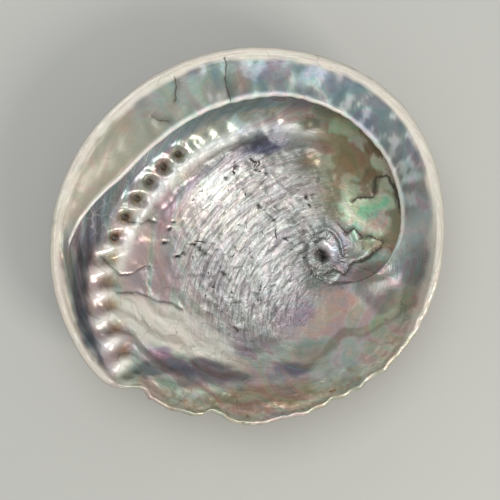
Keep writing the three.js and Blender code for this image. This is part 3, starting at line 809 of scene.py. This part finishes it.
def tints(grid, p):
    """Each point's tint, and how plain it is: 1 where the nacre hardly plays in colours."""
    x, y, turned, off_row = p.x, p.y, p.turned, p.off_row
    inside = 1 - p.stretch["back"]
    in_floor = p.stretch["floor"] + p.stretch["underside"]
    wander = rough(x, y, 17, seed=101)
    wobble_x, wobble_y = rough(x, y, 6, seed=112), rough(x, y, 6, seed=113)
    ragged = (x + 3 * wobble_x, y - 3 * wobble_y)

    tint = np.ones(x.shape + (3,)) * linear(TINT["bowl"])
    tint = patches_over(tint, FLOOR_TINTS, x + 5 * wander, y - 4 * rough(x, y, 15, seed=104), 1, 0.7)
    # A near-white patch on the scar is a painted highlight.
    polished = patch(x + 6 * wander, y, *SCAR_HIGHLIGHT_PATCH, core=0.5)
    tint = layered(tint, scar=0.9 * p.scar, polished=0.7 * p.scar * polished)

    # Bands that follow the growth, browner towards the lip, and the hole row with the walls beside it.
    # Behind the row the wall is painted darker as shade, darkest near the newest holes; the ridge inside the
    # row is painted near white as a highlight, and the knobs are pale cream lightened into a painted
    # highlight.
    band = ease(np.sin(p.age * TAU / 9 + 3 * wander), 0.1, 0.9) * np.exp(-np.maximum(p.age, 0) / 60)
    row = hill(off_row, 3.0) * p.row_on * ease(turned, 140, 165)
    # behind and newest mark the wall behind the row, whose tints are painted shade.
    behind = ease(off_row - 2.5 * ease(turned, 176, 184), 3.5, 6) * p.row_on * p.bowl
    newest = behind * ease(turned, 168, 182)
    outer = ease(off_row, 12, 15)
    gully = hill(off_row + 13.5, 3.6) * p.row_on * window(turned, 85, 105, 158, 172)
    # shine marks the ridge inside the row, painted near white as a highlight.
    shine = hill(off_row + RIDGE_INSIDE, 3.6) * p.row_on * window(turned, 75, 100, 178, 190) * p.bowl
    tint = layered(
        tint,
        band=0.5 * band * p.bowl * ease(p.cord, 2.1, 2.5),
        row=0.6 * row * (1 - p.knob),
        shaded_wall=0.9 * behind,
        streaky_wall=0.85 * newest * (1 - outer),
        left_wall=0.8 * newest * outer,
        gully=0.8 * gully * p.bowl,
        ridge=0.95 * shine,
        # The knobs' pale cream is lightened near white as a painted highlight.
        knob=1.3 * p.knob * p.bowl,
        new_hollow=0.8 * hill(p.to_new, 2.6),
        hollow=(0.9 + 0.6 * rough(x, y, 3, seed=47)) * hill(p.to_open, 2.5),
    )
    # Patches over the ridge, the near-white ones painted highlights.
    tint = patches_over(tint, ROW_TINTS_AND_HIGHLIGHTS, *ragged, p.bowl, 0.7)
    tint = layered(tint, hole=1.3 * p.pits, seam=0.75 * hill(p.to_seam, 0.8) * p.bowl)
    for at in LOBES:
        tint = layered(tint, lobe=0.45 * hill(away_from(x, y, at), 4.6))

    # The recess under the shelf, its cracks, the spire's pit and the blister. The raised crescent and button
    # by the spire are painted near white as highlights, and its pit near black as shade.
    flakes = ease(rough(x, y, 6, seed=111), 0.1, 0.3)
    tint = layered(tint, recess=p.recess, recess_cream=0.8 * p.recess * ease(y, 14, 24) * flakes)
    tint = patches_over(tint, RECESS_TINTS, *ragged, p.recess, 0.88)
    for vein in p.veins:
        tint = layered(tint, crack=0.85 * vein * in_floor)
    spire = 1 - ease(p.radius, 13, 22)
    bow = ease(np.cos(np.radians(turned - 70)), -0.3, 0.7)
    tint = layered(tint, spire=0.6 * spire * p.bowl, crescent=0.5 * spire * hill(p.uneven - 6, 2.0) * bow)
    # The button is painted near white as a highlight, and the spire's pit near black as shade.
    tint = layered(
        tint,
        crescent=0.9 * p.button * p.bowl,
        hole=1.6 * hill(p.uneven, 2.5) * p.bowl,
        blister=hill(p.to_blister, 4.4),
    )

    # The shelf: creamy where it begins, blue-green along the top and greyer at the right.
    for at, text in SHELF_TINTS:
        tint = tint_over(tint, p.shelf * ease(turned, at + SHELF_BLEND, at - SHELF_BLEND), text)
    ripple = rough(turned * 1.1 + 5 * p.across, 7 * p.across, 3.0, seed=117)
    rippled = 0.75 * p.shelf * window(turned, 28, 50, 122, 145)
    clouds = ease(rough(x, y, 5.5, seed=118), 0.05, 0.6) * (1 - ease(turned, 45, 62))
    tint = layered(
        tint,
        ripple_dark=rippled * ease(ripple, 0, 0.9),
        ripple_light=rippled * ease(-ripple, 0, 0.9),
        cloud=0.55 * p.shelf * clouds * ease(0.75 - p.across, 0, 0.5),
    )
    tint = patches_over(tint, SHELF_PATCHES, x + 2 * wobble_x, y - 2 * wobble_y, p.shelf, 0.5)
    for line in CRACKS:
        tint = layered(tint, crack=0.4 * p.shelf * hill(beside_line(x, y, line), 1.6))
    # A thin near-white line along the shelf's inner edge is a painted highlight.
    tint = layered(tint, ridge=p.shelf * hill(p.across - 0.02, 0.045))

    # The margin along the rim, and the lip's thin layers.
    margin = 1 - ease(grid.inner[None, :] - p.radius + 1.2 * rough(x, y, 8, seed=119), 0.4, 3.4)
    margin = margin * inside * (1 - 0.7 * p.lip)
    pale = hill(p.layer - 2.4, 3.4) * ease(rough(x, y, 9, seed=59), -0.5, 0.1)
    tint = layered(
        tint,
        rim=margin * (1 - p.stretch["underside"]),
        thin_lip=0.75 * pale * p.lip * inside,
    )
    for at in LIP_LAYERS:
        tint = layered(tint, layer_end=0.55 * hill(p.layer - at, 0.45) * p.lip * inside)
    plain = patch(x, y, *PORCELAIN, core=0.75) * p.bowl + p.knob + shine + margin
    plain = plain + (0.3 + 0.4 * ease(turned, 128, 150)) * p.shelf
    return tint, np.clip(plain, 0, 1)


# ---- the mesh ----

def grid_faces(rows, columns, skipped):
    """Quads between neighbouring grid points, closed round the columns, with triangles at the two
    poles. Skipped is a mask of the cells that are left out."""
    row, column = np.meshgrid(np.arange(rows - 1), np.arange(columns), indexing="ij")
    ahead = (column + 1) % columns
    corners = np.stack([row * columns + column, row * columns + ahead,
                        (row + 1) * columns + ahead, (row + 1) * columns + column], axis=2)
    first, last = corners[0][:, [0, 2, 3]].copy(), corners[-1][:, [0, 1, 2]].copy()
    first[:, 0], last[:, 2] = 0, (rows - 1) * columns
    body = corners[1:-1][~skipped[1:-1]]
    return first, body, last, row[1:-1][~skipped[1:-1]]


def ring_of(middle, columns):
    """Indices of the square ring of points round a hole, in walking order."""
    i, j = ring_steps(HOLE_BLOCK)
    on_ring = np.maximum(abs(i), abs(j)) == HOLE_BLOCK
    i, j = i[on_ring], j[on_ring]
    order = np.argsort(np.arctan2(j, i))
    return ((middle[0] + i) * columns + (middle[1] + j) % columns)[order]


def channel(start, end, first, second, total):
    """A hole's walls between two rings of points, which are matched by their bearings round the hole.
    Three rings of new points lie evenly between them. Returns those points, the ring that they take
    their attributes from, and the faces."""
    bearing = [np.arctan2(*(ring - ring.mean(axis=0))[:, 1::-1].T) for ring in (start, end)]
    orders = [np.argsort(angles) for angles in bearing]
    first, second = first[orders[0]], second[orders[1]]
    start, end = start[orders[0]], end[orders[1]]
    made, rings = [], [first]
    for share in (0.25, 0.5, 0.75):
        ring = mix(start, end, share)
        made.append(ring + CHANNEL_WAIST * (ring.mean(axis=0) - ring))
        rings.append(total + np.arange(len(first)))
        total += len(first)
    rings.append(second)
    faces = [np.stack([a, b, np.roll(b, -1), np.roll(a, -1)], axis=1) for a, b in zip(rings, rings[1:])]
    return made, first, faces


def shell_mesh(name, grid, points, attributes, scale):
    """The closed mesh: the grid with its two poles closed, and six channels through the wall."""
    rows, columns = points.shape[:2]
    skipped = np.zeros((rows - 1, columns), bool)
    flat = [points.reshape(-1, 3)]
    sources = [np.arange(rows * columns)]
    channel_faces = []
    total = rows * columns
    span = np.arange(-HOLE_BLOCK, HOLE_BLOCK)
    for middles in grid.holes:
        for row, column in middles:
            skipped[(row + span)[:, None], (column + span)[None, :] % columns] = True
        first, second = (ring_of(middle, columns) for middle in middles)
        made, source, faces = channel(flat[0][first], flat[0][second], first, second, total)
        flat += made
        sources += [source] * len(made)
        channel_faces += faces
        total += len(made) * len(source)
    first, body, last, body_row = grid_faces(rows, columns, skipped)
    channels = np.concatenate(channel_faces)
    quads = np.concatenate([body, channels])
    corners = np.concatenate([first.ravel(), quads.ravel(), last.ravel()])
    sizes = np.concatenate([np.full(len(first), 3), np.full(len(quads), 4), np.full(len(last), 3)])
    on_back = np.concatenate([np.zeros(len(first)), grid.stretch[body_row + 1] == "back",
                              np.zeros(len(channels)), np.ones(len(last))]).astype(int)
    used, corners = np.unique(corners, return_inverse=True)
    where = np.concatenate(sources)[used]

    mesh = bpy.data.meshes.new(name)
    mesh.vertices.add(len(used))
    mesh.vertices.foreach_set("co", (np.concatenate(flat)[used] * scale * MM).ravel())
    mesh.loops.add(len(corners))
    mesh.loops.foreach_set("vertex_index", corners.ravel())
    mesh.polygons.add(len(sizes))
    mesh.polygons.foreach_set("loop_start", np.concatenate([[0], np.cumsum(sizes)[:-1]]))
    mesh.update(calc_edges=True)
    mesh.polygons.foreach_set("material_index", on_back)
    mesh.shade_smooth()
    for key, value in attributes.items():
        values = value.reshape(rows * columns, -1)[where]
        if value.ndim == 3:
            rgba = np.concatenate([values, np.ones((len(values), 1))], axis=1)
            mesh.attributes.new(key, "FLOAT_COLOR", "POINT").data.foreach_set("color", rgba.ravel())
        else:
            mesh.attributes.new(key, "FLOAT", "POINT").data.foreach_set("value", values.ravel())
    mesh.validate()
    return mesh


# ---- materials ----

MIX_A, MIX_B, MIXED = 6, 7, 2  # a Mix node's sockets when it mixes colours
BLEND = {"data_type": "RGBA", "out": MIXED}
DARKEN = {"data_type": "RGBA", "out": MIXED, "blend_type": "MULTIPLY"}
MEASURES = ("age", "cord", "scar", "shelf", "crack", "threads", "beside_crack", "across_fibres",
            "along_fibres", "lined", "worn")
CALM = 0.25  # how much of the play of colour and the lustre is left where the nacre is plain


def node(tree, kind, inputs=(), out=0, stops=(), **settings):
    """Adds a shader node and returns its output of this name or number. Inputs are a dict by socket, or
    a tuple in the sockets' order. A value is set on its socket, or linked if it is another node's
    output. Stops are the places and colours of a ramp."""
    made = tree.nodes.new("ShaderNode" + kind)
    for name, value in settings.items():
        setattr(made, name, value)
    for name, value in inputs.items() if isinstance(inputs, dict) else enumerate(inputs):
        socket = made.inputs[name]
        if isinstance(value, bpy.types.NodeSocket):
            tree.links.new(value, socket)
        else:
            socket.default_value = value
    for k, (place, tone) in enumerate(stops):
        ramp = made.color_ramp.elements
        stop = ramp[k] if k < 2 else ramp.new(place)
        stop.position, stop.color = place, colour(tone)
    return made.outputs[out] if made.outputs else None


def colour(tone):
    """A linear colour with alpha, from sRGB hex or from one level of grey."""
    light = linear(tone) if isinstance(tone, str) else (tone, tone, tone)
    return (*(float(v) for v in light), 1)


def per(size_mm):
    """A noise scale whose features are about this large."""
    return 1000 / size_mm


def new_material(name):
    """An empty material, with its node tree."""
    made = bpy.data.materials.new(name)
    made.use_nodes = True
    made.node_tree.nodes.clear()
    return made, made.node_tree


def nacre_material(look):
    """Nacre, grown as stacked glassy plates. Light passes some plates and comes back from others, so
    the eye sees soft pastel hues that change from patch to patch over a silvery gloss."""
    made, tree = new_material("nacre_grown")
    place = node(tree, "TexCoord", out="Object")
    tint = node(tree, "Attribute", out="Color", attribute_name="tint")
    age, cord, scar, plain, shelf, lined, across, along, beside, cracked, threads = (
        node(tree, "Attribute", out="Fac", attribute_name=name)
        for name in ("age", "cord", "scar", "plain", "shelf", "lined", "across_fibres", "along_fibres",
                     "beside_crack", "crack", "threads")
    )

    # Pastel hues: long patches that lie along the growth where it shows, and round ones elsewhere.
    flow = node(tree, "CombineXYZ", {"X": age, "Y": cord})
    lying = node(tree, "Mapping", {"Vector": flow, "Scale": (0.05, 4.4, 1)})
    long = node(tree, "TexNoise", {"Vector": lying, "Scale": 1, "Detail": 3, "Distortion": 0.7})
    broad = node(tree, "TexNoise", {"Vector": place, "Scale": per(28), "Detail": 3, "Distortion": 1.5})
    patchy = node(tree, "Mix", {0: lined, 2: broad, 3: long})
    hues = node(tree, "ValToRGB", {"Fac": patchy}, stops=[
        (0.34, look.pink), (0.42, look.cream), (0.48, look.green), (0.53, look.silver),
        (0.58, look.pink), (0.64, look.violet), (0.7, look.blue), (0.76, look.cream),
    ])
    small = node(tree, "TexNoise", {"Vector": place, "Scale": per(9), "Detail": 3, "Distortion": 1.4})
    small_hues = node(tree, "ValToRGB", {"Fac": small}, stops=[
        (0.34, look.blue), (0.44, look.silver), (0.56, look.cream), (0.66, look.pink),
    ])
    hue = node(tree, "Mix", {0: 0.3, MIX_A: hues, MIX_B: small_hues}, **BLEND)
    calm = node(tree, "Math", (scar, 0.85, plain), operation="MULTIPLY_ADD")
    strength = look.hue_strength
    play = node(tree, "MapRange", {"Value": calm, "To Min": strength, "To Max": CALM * strength})
    finished = node(tree, "Mix", {0: play, MIX_A: tint, MIX_B: hue}, **DARKEN)

    # Lines where one layer of nacre ends on another.
    contour = node(tree, "ValToRGB", {"Fac": patchy}, stops=[
        (0.438, 1), (0.448, look.contour), (0.456, 1), (0.548, 1), (0.556, look.contour),
        (0.566, 0.9), (0.64, 1), (0.65, look.contour), (0.662, 0.86),
    ])
    off_scar = node(tree, "MapRange", {"Value": scar, "To Min": 0.5, "To Max": 0.1})
    outlined = node(tree, "MapRange", {"Value": lined, "To Min": 0.1, "To Max": 0.55})
    outlined = node(tree, "Math", (outlined, off_scar), operation="MULTIPLY")
    finished = node(tree, "Mix", {0: outlined, MIX_A: finished, MIX_B: contour}, **DARKEN)

    # Streaks along the lines of growth, the widest about 4 mm across and the finest a fraction of one.
    stretched = node(tree, "Mapping", {"Vector": flow, "Scale": (0.4, 5, 1)})
    streak = node(tree, "TexNoise", {
        "Vector": stretched, "Scale": 1, "Detail": 4, "Roughness": 0.55, "Distortion": 0.3,
    })
    shade = node(tree, "ValToRGB", {"Fac": streak}, stops=[(0.32, 0.5), (0.5, 0.95), (0.7, 1)])
    streaky = node(tree, "Math", (lined, 0.45), operation="MULTIPLY")
    finished = node(tree, "Mix", {0: streaky, MIX_A: finished, MIX_B: shade}, **DARKEN)

    # Muscle scar: silver fibres with dark gaps between them.
    fibre_way = node(tree, "CombineXYZ", {"X": across, "Y": along})
    fibre_way = node(tree, "Mapping", {"Vector": fibre_way, "Scale": (0.58, 0.095, 1)})
    fibre = node(tree, "TexNoise", {
        "Vector": fibre_way, "Scale": 1, "Detail": 5, "Roughness": 0.62, "Distortion": 0.85,
    })
    gaps = node(tree, "ValToRGB", {"Fac": fibre}, stops=[(0.38, 0.3), (0.46, 0.52), (0.52, 0.88), (0.57, 1)])
    scarred = node(tree, "Math", (scar, 0.85), operation="MULTIPLY")
    finished = node(tree, "Mix", {0: scarred, MIX_A: finished, MIX_B: gaps}, **DARKEN)

    # Specks are small holes in the scar, dark inside.
    speck = node(tree, "TexNoise", {
        "Vector": place, "Scale": per(4.2), "Detail": 2.5, "Roughness": 0.6, "Distortion": 1,
    })
    speck = node(tree, "MapRange", {"Value": speck, "From Min": 0.665, "From Max": 0.68})
    speck = node(tree, "Math", (speck, scar), operation="MULTIPLY")
    finished = node(tree, "Mix", {0: speck, MIX_A: finished, MIX_B: colour(look.speck)}, **BLEND)

    # Thin dark cracks, where the plates parted and dirt came in.
    bent = node(tree, "TexNoise", {"Vector": place, "Scale": per(9), "Detail": 4}, out="Color")
    bent = node(tree, "VectorMath", (bent, (0.008, 0.008, 0.008)), operation="MULTIPLY")
    bent = node(tree, "VectorMath", (place, bent), operation="ADD")
    cells = node(tree, "TexVoronoi", {"Vector": bent, "Scale": per(21)}, feature="DISTANCE_TO_EDGE")
    crack = node(tree, "MapRange", {"Value": cells, "From Max": 0.016, "To Min": 1, "To Max": 0})
    some = node(tree, "MapRange", {"Value": small, "From Min": 0.5, "From Max": 0.62})
    crack = node(tree, "Math", (crack, some), operation="MULTIPLY")
    crack = node(tree, "Math", (crack, 0.4), operation="MULTIPLY")
    finished = node(tree, "Mix", {0: crack, MIX_A: finished, MIX_B: colour(look.dirt)}, **BLEND)

    # The longer cracks and seams, each a thin wavering line of dirt.
    waver = node(tree, "TexNoise", {"Vector": place, "Scale": per(3.5), "Detail": 3})
    waver = node(tree, "MapRange", {"Value": waver, "To Min": -1.4, "To Max": 1.4})
    aside = node(tree, "Math", (beside, waver), operation="ADD")
    aside = node(tree, "Math", (aside,), operation="ABSOLUTE")
    line = node(tree, "MapRange", {
        "Value": aside, "From Min": 0.15, "From Max": 0.5, "To Min": 1, "To Max": 0,
    })
    line = node(tree, "Math", (line, cracked), operation="MULTIPLY")
    finished = node(tree, "Mix", {0: line, MIX_A: finished, MIX_B: colour(look.dirt)}, **BLEND)

    # Pale threads of dried skin that still cling to the wall behind the newest open holes.
    net = node(tree, "TexVoronoi", {"Vector": bent, "Scale": per(6)}, feature="DISTANCE_TO_EDGE")
    thread = node(tree, "MapRange", {"Value": net, "From Max": 0.05, "To Min": 0.8, "To Max": 0})
    thread = node(tree, "Math", (thread, threads), operation="MULTIPLY")
    finished = node(tree, "Mix", {0: thread, MIX_A: finished, MIX_B: colour(look.skin)}, **BLEND)

    # Relief too fine for the mesh: grain and fibres on the scar, and the streaks elsewhere.
    grain = node(tree, "TexNoise", {"Vector": place, "Scale": per(2), "Detail": 4})
    grainy = node(tree, "MapRange", {"Value": scar, "To Min": 0.2, "To Max": 0.4})
    height = node(tree, "Math", (grain, grainy), operation="MULTIPLY")
    height = node(tree, "Math", (streak, streaky, height), operation="MULTIPLY_ADD")
    fibre_height = node(tree, "Math", (fibre, 1.5), operation="MULTIPLY")
    height = node(tree, "Math", (fibre_height, scar, height), operation="MULTIPLY_ADD")
    bump = node(tree, "Bump", {"Height": height, "Strength": 0.5, "Distance": 0.0009})

    # Gloss: silkier along the streaks and duller on the shelf, with less lustre where it is plain.
    gloss = node(tree, "MapRange", {
        "Value": streak, "From Min": 0.3, "From Max": 0.7, "To Min": 0.4, "To Max": 0.22,
    })
    gloss = node(tree, "Math", (shelf, 0.2, gloss), operation="MULTIPLY_ADD")
    lustre = node(tree, "MapRange", {"Value": plain, "To Min": look.lustre, "To Max": CALM * look.lustre})
    shader = node(tree, "BsdfPrincipled", {
        "Base Color": finished, "Metallic": lustre, "Roughness": gloss, "Normal": bump,
        "Coat Weight": 0.3, "Coat Roughness": 0.2, "Coat IOR": 1.55,
    })
    node(tree, "OutputMaterial", {"Surface": shader})
    return made


def crust_material(look):
    """The shell's horny, chalky back, laid down in bands and overgrown. It is rough and dull, with
    brick, olive and tan bands, pale growths on top, and nacre where it has worn through."""
    made, tree = new_material("shell_back_grown")
    place = node(tree, "TexCoord", out="Object")
    age, cord, worn = (
        node(tree, "Attribute", out="Fac", attribute_name=name) for name in ("age", "cord", "worn")
    )
    flow = node(tree, "CombineXYZ", {"X": age, "Y": cord})
    flow = node(tree, "Mapping", {"Vector": flow, "Scale": (0.16, 1.6, 1)})
    band = node(tree, "TexNoise", {
        "Vector": flow, "Scale": 1, "Detail": 7, "Roughness": 0.6, "Distortion": 0.5,
    })
    bands = node(tree, "ValToRGB", {"Fac": band}, stops=[
        (0.30, look.dark_band), (0.41, look.brick), (0.49, look.tan), (0.55, look.olive),
        (0.62, look.brick), (0.72, look.chalk),
    ])

    # Chalky growths lie on the bands, and flecks darken both.
    blotch = node(tree, "TexNoise", {"Vector": place, "Scale": per(16), "Detail": 8, "Roughness": 0.66})
    blotch = node(tree, "MapRange", {"Value": blotch, "From Min": 0.5, "From Max": 0.63, "To Max": 0.8})
    finished = node(tree, "Mix", {0: blotch, MIX_A: bands, MIX_B: colour(look.chalk)}, **BLEND)
    fleck = node(tree, "TexNoise", {"Vector": place, "Scale": per(2.4), "Detail": 5})
    flecks = node(tree, "ValToRGB", {"Fac": fleck}, stops=[(0.34, 0.5), (0.6, 1)])
    finished = node(tree, "Mix", {0: 0.7, MIX_A: finished, MIX_B: flecks}, **DARKEN)

    # Bare nacre shows where the crust is rubbed off, with a ragged edge.
    shine = node(tree, "TexNoise", {"Vector": place, "Scale": per(10), "Detail": 6, "Distortion": 1.5})
    bare_hue = node(tree, "ValToRGB", {"Fac": shine}, stops=[
        (0.38, look.bare_green), (0.5, look.bare_silver), (0.62, look.bare_pink),
    ])
    edge = node(tree, "Math", (shine, 1.3, -0.65), operation="MULTIPLY_ADD")
    bare = node(tree, "Math", (worn, edge), operation="ADD")
    bare = node(tree, "MapRange", {"Value": bare, "From Min": 0.42, "From Max": 0.6})
    finished = node(tree, "Mix", {0: bare, MIX_A: finished, MIX_B: bare_hue}, **BLEND)
    lustre = node(tree, "Math", (bare, 0.35), operation="MULTIPLY")
    dull = node(tree, "MapRange", {"Value": bare, "To Min": 0.78, "To Max": 0.36})
    height = node(tree, "Math", (band, 1.2, fleck), operation="MULTIPLY_ADD")
    bump = node(tree, "Bump", {"Height": height, "Strength": 0.7, "Distance": 0.0016})
    shader = node(tree, "BsdfPrincipled", {
        "Base Color": finished, "Metallic": lustre, "Roughness": dull, "Normal": bump,
    })
    node(tree, "OutputMaterial", {"Surface": shader})
    return made


def ground_material(look):
    """Matt white board, painted: pale and even, with a faint cloudiness."""
    made, tree = new_material("board_painted")
    place = node(tree, "TexCoord", out="Object")
    cloud = node(tree, "TexNoise", {"Vector": place, "Scale": per(180), "Detail": 4})
    shade = node(tree, "Mix", {
        0: cloud, MIX_A: colour(look.ground), MIX_B: colour(look.ground_dark),
    }, **BLEND)
    fine = node(tree, "TexNoise", {"Vector": place, "Scale": per(3), "Detail": 3})
    bump = node(tree, "Bump", {"Height": fine, "Strength": 0.1, "Distance": 0.0004})
    shader = node(tree, "BsdfPrincipled", {"Base Color": shade, "Roughness": 0.62, "Normal": bump})
    node(tree, "OutputMaterial", {"Surface": shader})
    return made


# ---- add-on ----

ROOM_TONE = "e9ecee"
LAMPS = (  # name, place and size in metres, and tone: one by the side and one overhead
    ("key", (0.62, -0.5, 0.78), 0.34, "fff9f0"),
    ("fill", (-0.1, 0.35, 1.2), 0.8, "f4f8ff"),
)
LAMP_TARGET = (0, 0, 0.02)
BOARD_HALF = 12.0  # metres, far past what the camera sees
SENSOR = 36
VIEW_MIDDLE = (1.4, -5.2)  # where the camera stands, in millimetres


def text_setting(name, description, default):
    """A colour that a user would change, as sRGB hex."""
    return bpy.props.StringProperty(name=name, description=description, default=default)


class ShellSizes(bpy.types.PropertyGroup):
    """Sizes of the shell. The others follow from these."""

    mouth_width: bpy.props.FloatProperty(
        name="Mouth width", description="Across the mouth, from the left wall to the spire's side",
        default=CAD_SIZE[0], min=0.05, max=0.3, unit="LENGTH",
    )
    mouth_length: bpy.props.FloatProperty(
        name="Mouth length", description="Across the mouth, from the growing lip to the shelf's far side",
        default=CAD_SIZE[1], min=0.05, max=0.3, unit="LENGTH",
    )
    height: bpy.props.FloatProperty(
        name="Height", description="From the worn spot on the back up to the rim",
        default=CAD_SIZE[2], min=0.01, max=0.1, unit="LENGTH",
    )


class NacreLook(bpy.types.PropertyGroup):
    """Colours of the nacre, as sRGB hex, and how strongly it shines."""

    pink: text_setting("Pink", "Pink play of colour", "ffcfd9")
    cream: text_setting("Cream", "Warm play of colour", "fff3da")
    silver: text_setting("Silver", "Neutral play of colour", "ffffff")
    green: text_setting("Green", "Green play of colour", "c6f2db")
    blue: text_setting("Blue", "Blue play of colour", "cfe6fa")
    violet: text_setting("Violet", "Violet play of colour", "e2d8f3")
    contour: text_setting("Contour", "Lines where layers end", "5c5650")
    speck: text_setting("Speck", "Dark specks in the scar", "3a3632")
    dirt: text_setting("Dirt", "Dirt in the cracks", "4a4034")
    skin: text_setting("Dried skin", "Pale threads on the wall", "d5d3cc")
    hue_strength: bpy.props.FloatProperty(
        name="Play of colour", description="How strongly the pastel hues tint the nacre",
        default=0.75, min=0, max=1, subtype="FACTOR",
    )
    lustre: bpy.props.FloatProperty(
        name="Lustre", description="How metallic the nacre looks",
        default=0.72, min=0, max=1, subtype="FACTOR",
    )


class CrustLook(bpy.types.PropertyGroup):
    """Colours of the shell's back, as sRGB hex."""

    brick: text_setting("Brick", "Red-brown bands", "7a4636")
    tan: text_setting("Tan", "Light brown bands", "a4855f")
    olive: text_setting("Olive", "Green-brown bands", "6b6747")
    dark_band: text_setting("Dark bands", "Darkest bands", "3d2f28")
    chalk: text_setting("Chalk", "Pale growths on the back", "b9b09c")
    bare_green: text_setting("Bare green", "Green of worn nacre", "9cb0a2")
    bare_silver: text_setting("Bare silver", "Silver of worn nacre", "c6c4c2")
    bare_pink: text_setting("Bare pink", "Pink of worn nacre", "c8a8ab")


class StageLook(bpy.types.PropertyGroup):
    """The board that the shell lies on, its lights and the camera."""

    ground: text_setting("Board", "Board colour", "bfbeb7")
    ground_dark: text_setting("Board shade", "Cloudier board colour", "b8b7b0")
    camera_height: bpy.props.FloatProperty(
        name="Camera height", description="Height of the camera above the rim",
        default=0.45, unit="LENGTH",
    )
    view_width: bpy.props.FloatProperty(
        name="View width", description="Width that the camera sees at the rim",
        default=0.22, unit="LENGTH",
    )
    key_power: bpy.props.FloatProperty(
        name="Key light", description="Power of the side light", default=4.8, unit="POWER",
    )
    fill_power: bpy.props.FloatProperty(
        name="Fill light", description="Power of the overhead light", default=5.2, unit="POWER",
    )
    room_light: bpy.props.FloatProperty(
        name="Room light", description="Brightness of the room", default=0.68,
    )


class SHELL_OT_shell(bpy.types.Operator):
    """Builds the shell: its bowl, inner lip, holes and back, with both materials"""

    bl_idname = "abalone.shell"
    bl_label = "Shell"

    def execute(self, context):
        sizes = context.scene.shell_sizes
        grid = shell_grid()
        places = Places(grid)
        points = with_relief(grid, places)
        tint, plain = tints(grid, places)
        measures = {name: getattr(places, name) for name in MEASURES}
        # The axis that a size is set on is stretched as a whole.
        scale = np.array([sizes.mouth_width, sizes.mouth_length, sizes.height]) / np.array(CAD_SIZE)
        attributes = {"tint": tint, "plain": plain, **measures}
        mesh = shell_mesh("abalone_shell", grid, points, attributes, scale)
        mesh.materials.append(nacre_material(context.scene.nacre_look))
        mesh.materials.append(crust_material(context.scene.crust_look))
        shell = bpy.data.objects.new("abalone_shell", mesh)
        context.scene.collection.objects.link(shell)
        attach(shell, "root")
        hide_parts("shell")
        return {"FINISHED"}


class SHELL_OT_stage(bpy.types.Operator):
    """Builds the pale board, the soft lights and the camera above the shell"""

    bl_idname = "abalone.stage"
    bl_label = "Board, lights and camera"

    def execute(self, context):
        look = context.scene.stage_look
        mesh = bpy.data.meshes.new("board")
        corners = [(BOARD_HALF * x, BOARD_HALF * y, 0) for x, y in ((-1, -1), (1, -1), (1, 1), (-1, 1))]
        mesh.from_pydata(corners, [], [(0, 1, 2, 3)])
        mesh.materials.append(ground_material(look))
        board = bpy.data.objects.new("board", mesh)
        context.scene.collection.objects.link(board)

        world = bpy.data.worlds.new("room")
        world.use_nodes = True
        background = world.node_tree.nodes["Background"].inputs
        background["Color"].default_value = colour(ROOM_TONE)
        background["Strength"].default_value = look.room_light
        context.scene.world = world
        for name, place, size, tone in LAMPS:
            add_light(context, name, place, size, getattr(look, name + "_power"), tone)

        context.scene.view_settings.view_transform = "Standard"
        data = bpy.data.cameras.new("view")
        data.sensor_width = SENSOR
        data.lens = data.sensor_width * look.camera_height / look.view_width
        camera = bpy.data.objects.new("view", data)
        camera.location = (VIEW_MIDDLE[0] * MM, VIEW_MIDDLE[1] * MM, HEIGHT * MM + look.camera_height)
        context.scene.collection.objects.link(camera)
        context.scene.camera = camera
        return {"FINISHED"}


def add_light(context, name, place, size, power, tone):
    """A square soft light that faces the middle of the shell."""
    data = bpy.data.lights.new(name, "AREA")
    data.size, data.energy = size, power
    data.color = colour(tone)[:3]
    light = bpy.data.objects.new(name, data)
    light.location = place
    light.rotation_euler = (Vector(LAMP_TARGET) - light.location).to_track_quat("-Z", "Y").to_euler()
    context.scene.collection.objects.link(light)


class SHELL_PT_panel(bpy.types.Panel):
    """Sizes, colours and buttons for the shell"""

    bl_label = "Abalone shell"
    bl_space_type = "VIEW_3D"
    bl_region_type = "UI"
    bl_category = "Shell"

    def draw(self, context):
        for group in PROPERTIES:
            box = self.layout.box()
            settings = getattr(context.scene, group)
            for name in settings.__annotations__:
                box.prop(settings, name)
        for operator in OPERATORS:
            self.layout.operator(operator.bl_idname)


PROPERTIES = {
    "shell_sizes": ShellSizes, "nacre_look": NacreLook, "crust_look": CrustLook, "stage_look": StageLook,
}
OPERATORS = (SHELL_OT_shell, SHELL_OT_stage)


def register():
    """Registers the groups of settings, the operators and the panel."""
    for name, group in PROPERTIES.items():
        bpy.utils.register_class(group)
        setattr(bpy.types.Scene, name, bpy.props.PointerProperty(type=group))
    for made in (*OPERATORS, SHELL_PT_panel):
        bpy.utils.register_class(made)


def unregister():
    """Takes them away again, the last first."""
    for made in (SHELL_PT_panel, *OPERATORS):
        bpy.utils.unregister_class(made)
    for name, group in reversed(PROPERTIES.items()):
        delattr(bpy.types.Scene, name)
        bpy.utils.unregister_class(group)


def main():
    """Builds everything."""
    register()
    bpy.ops.abalone.shell()
    bpy.ops.abalone.stage()


if __name__ == "__main__":
    main()
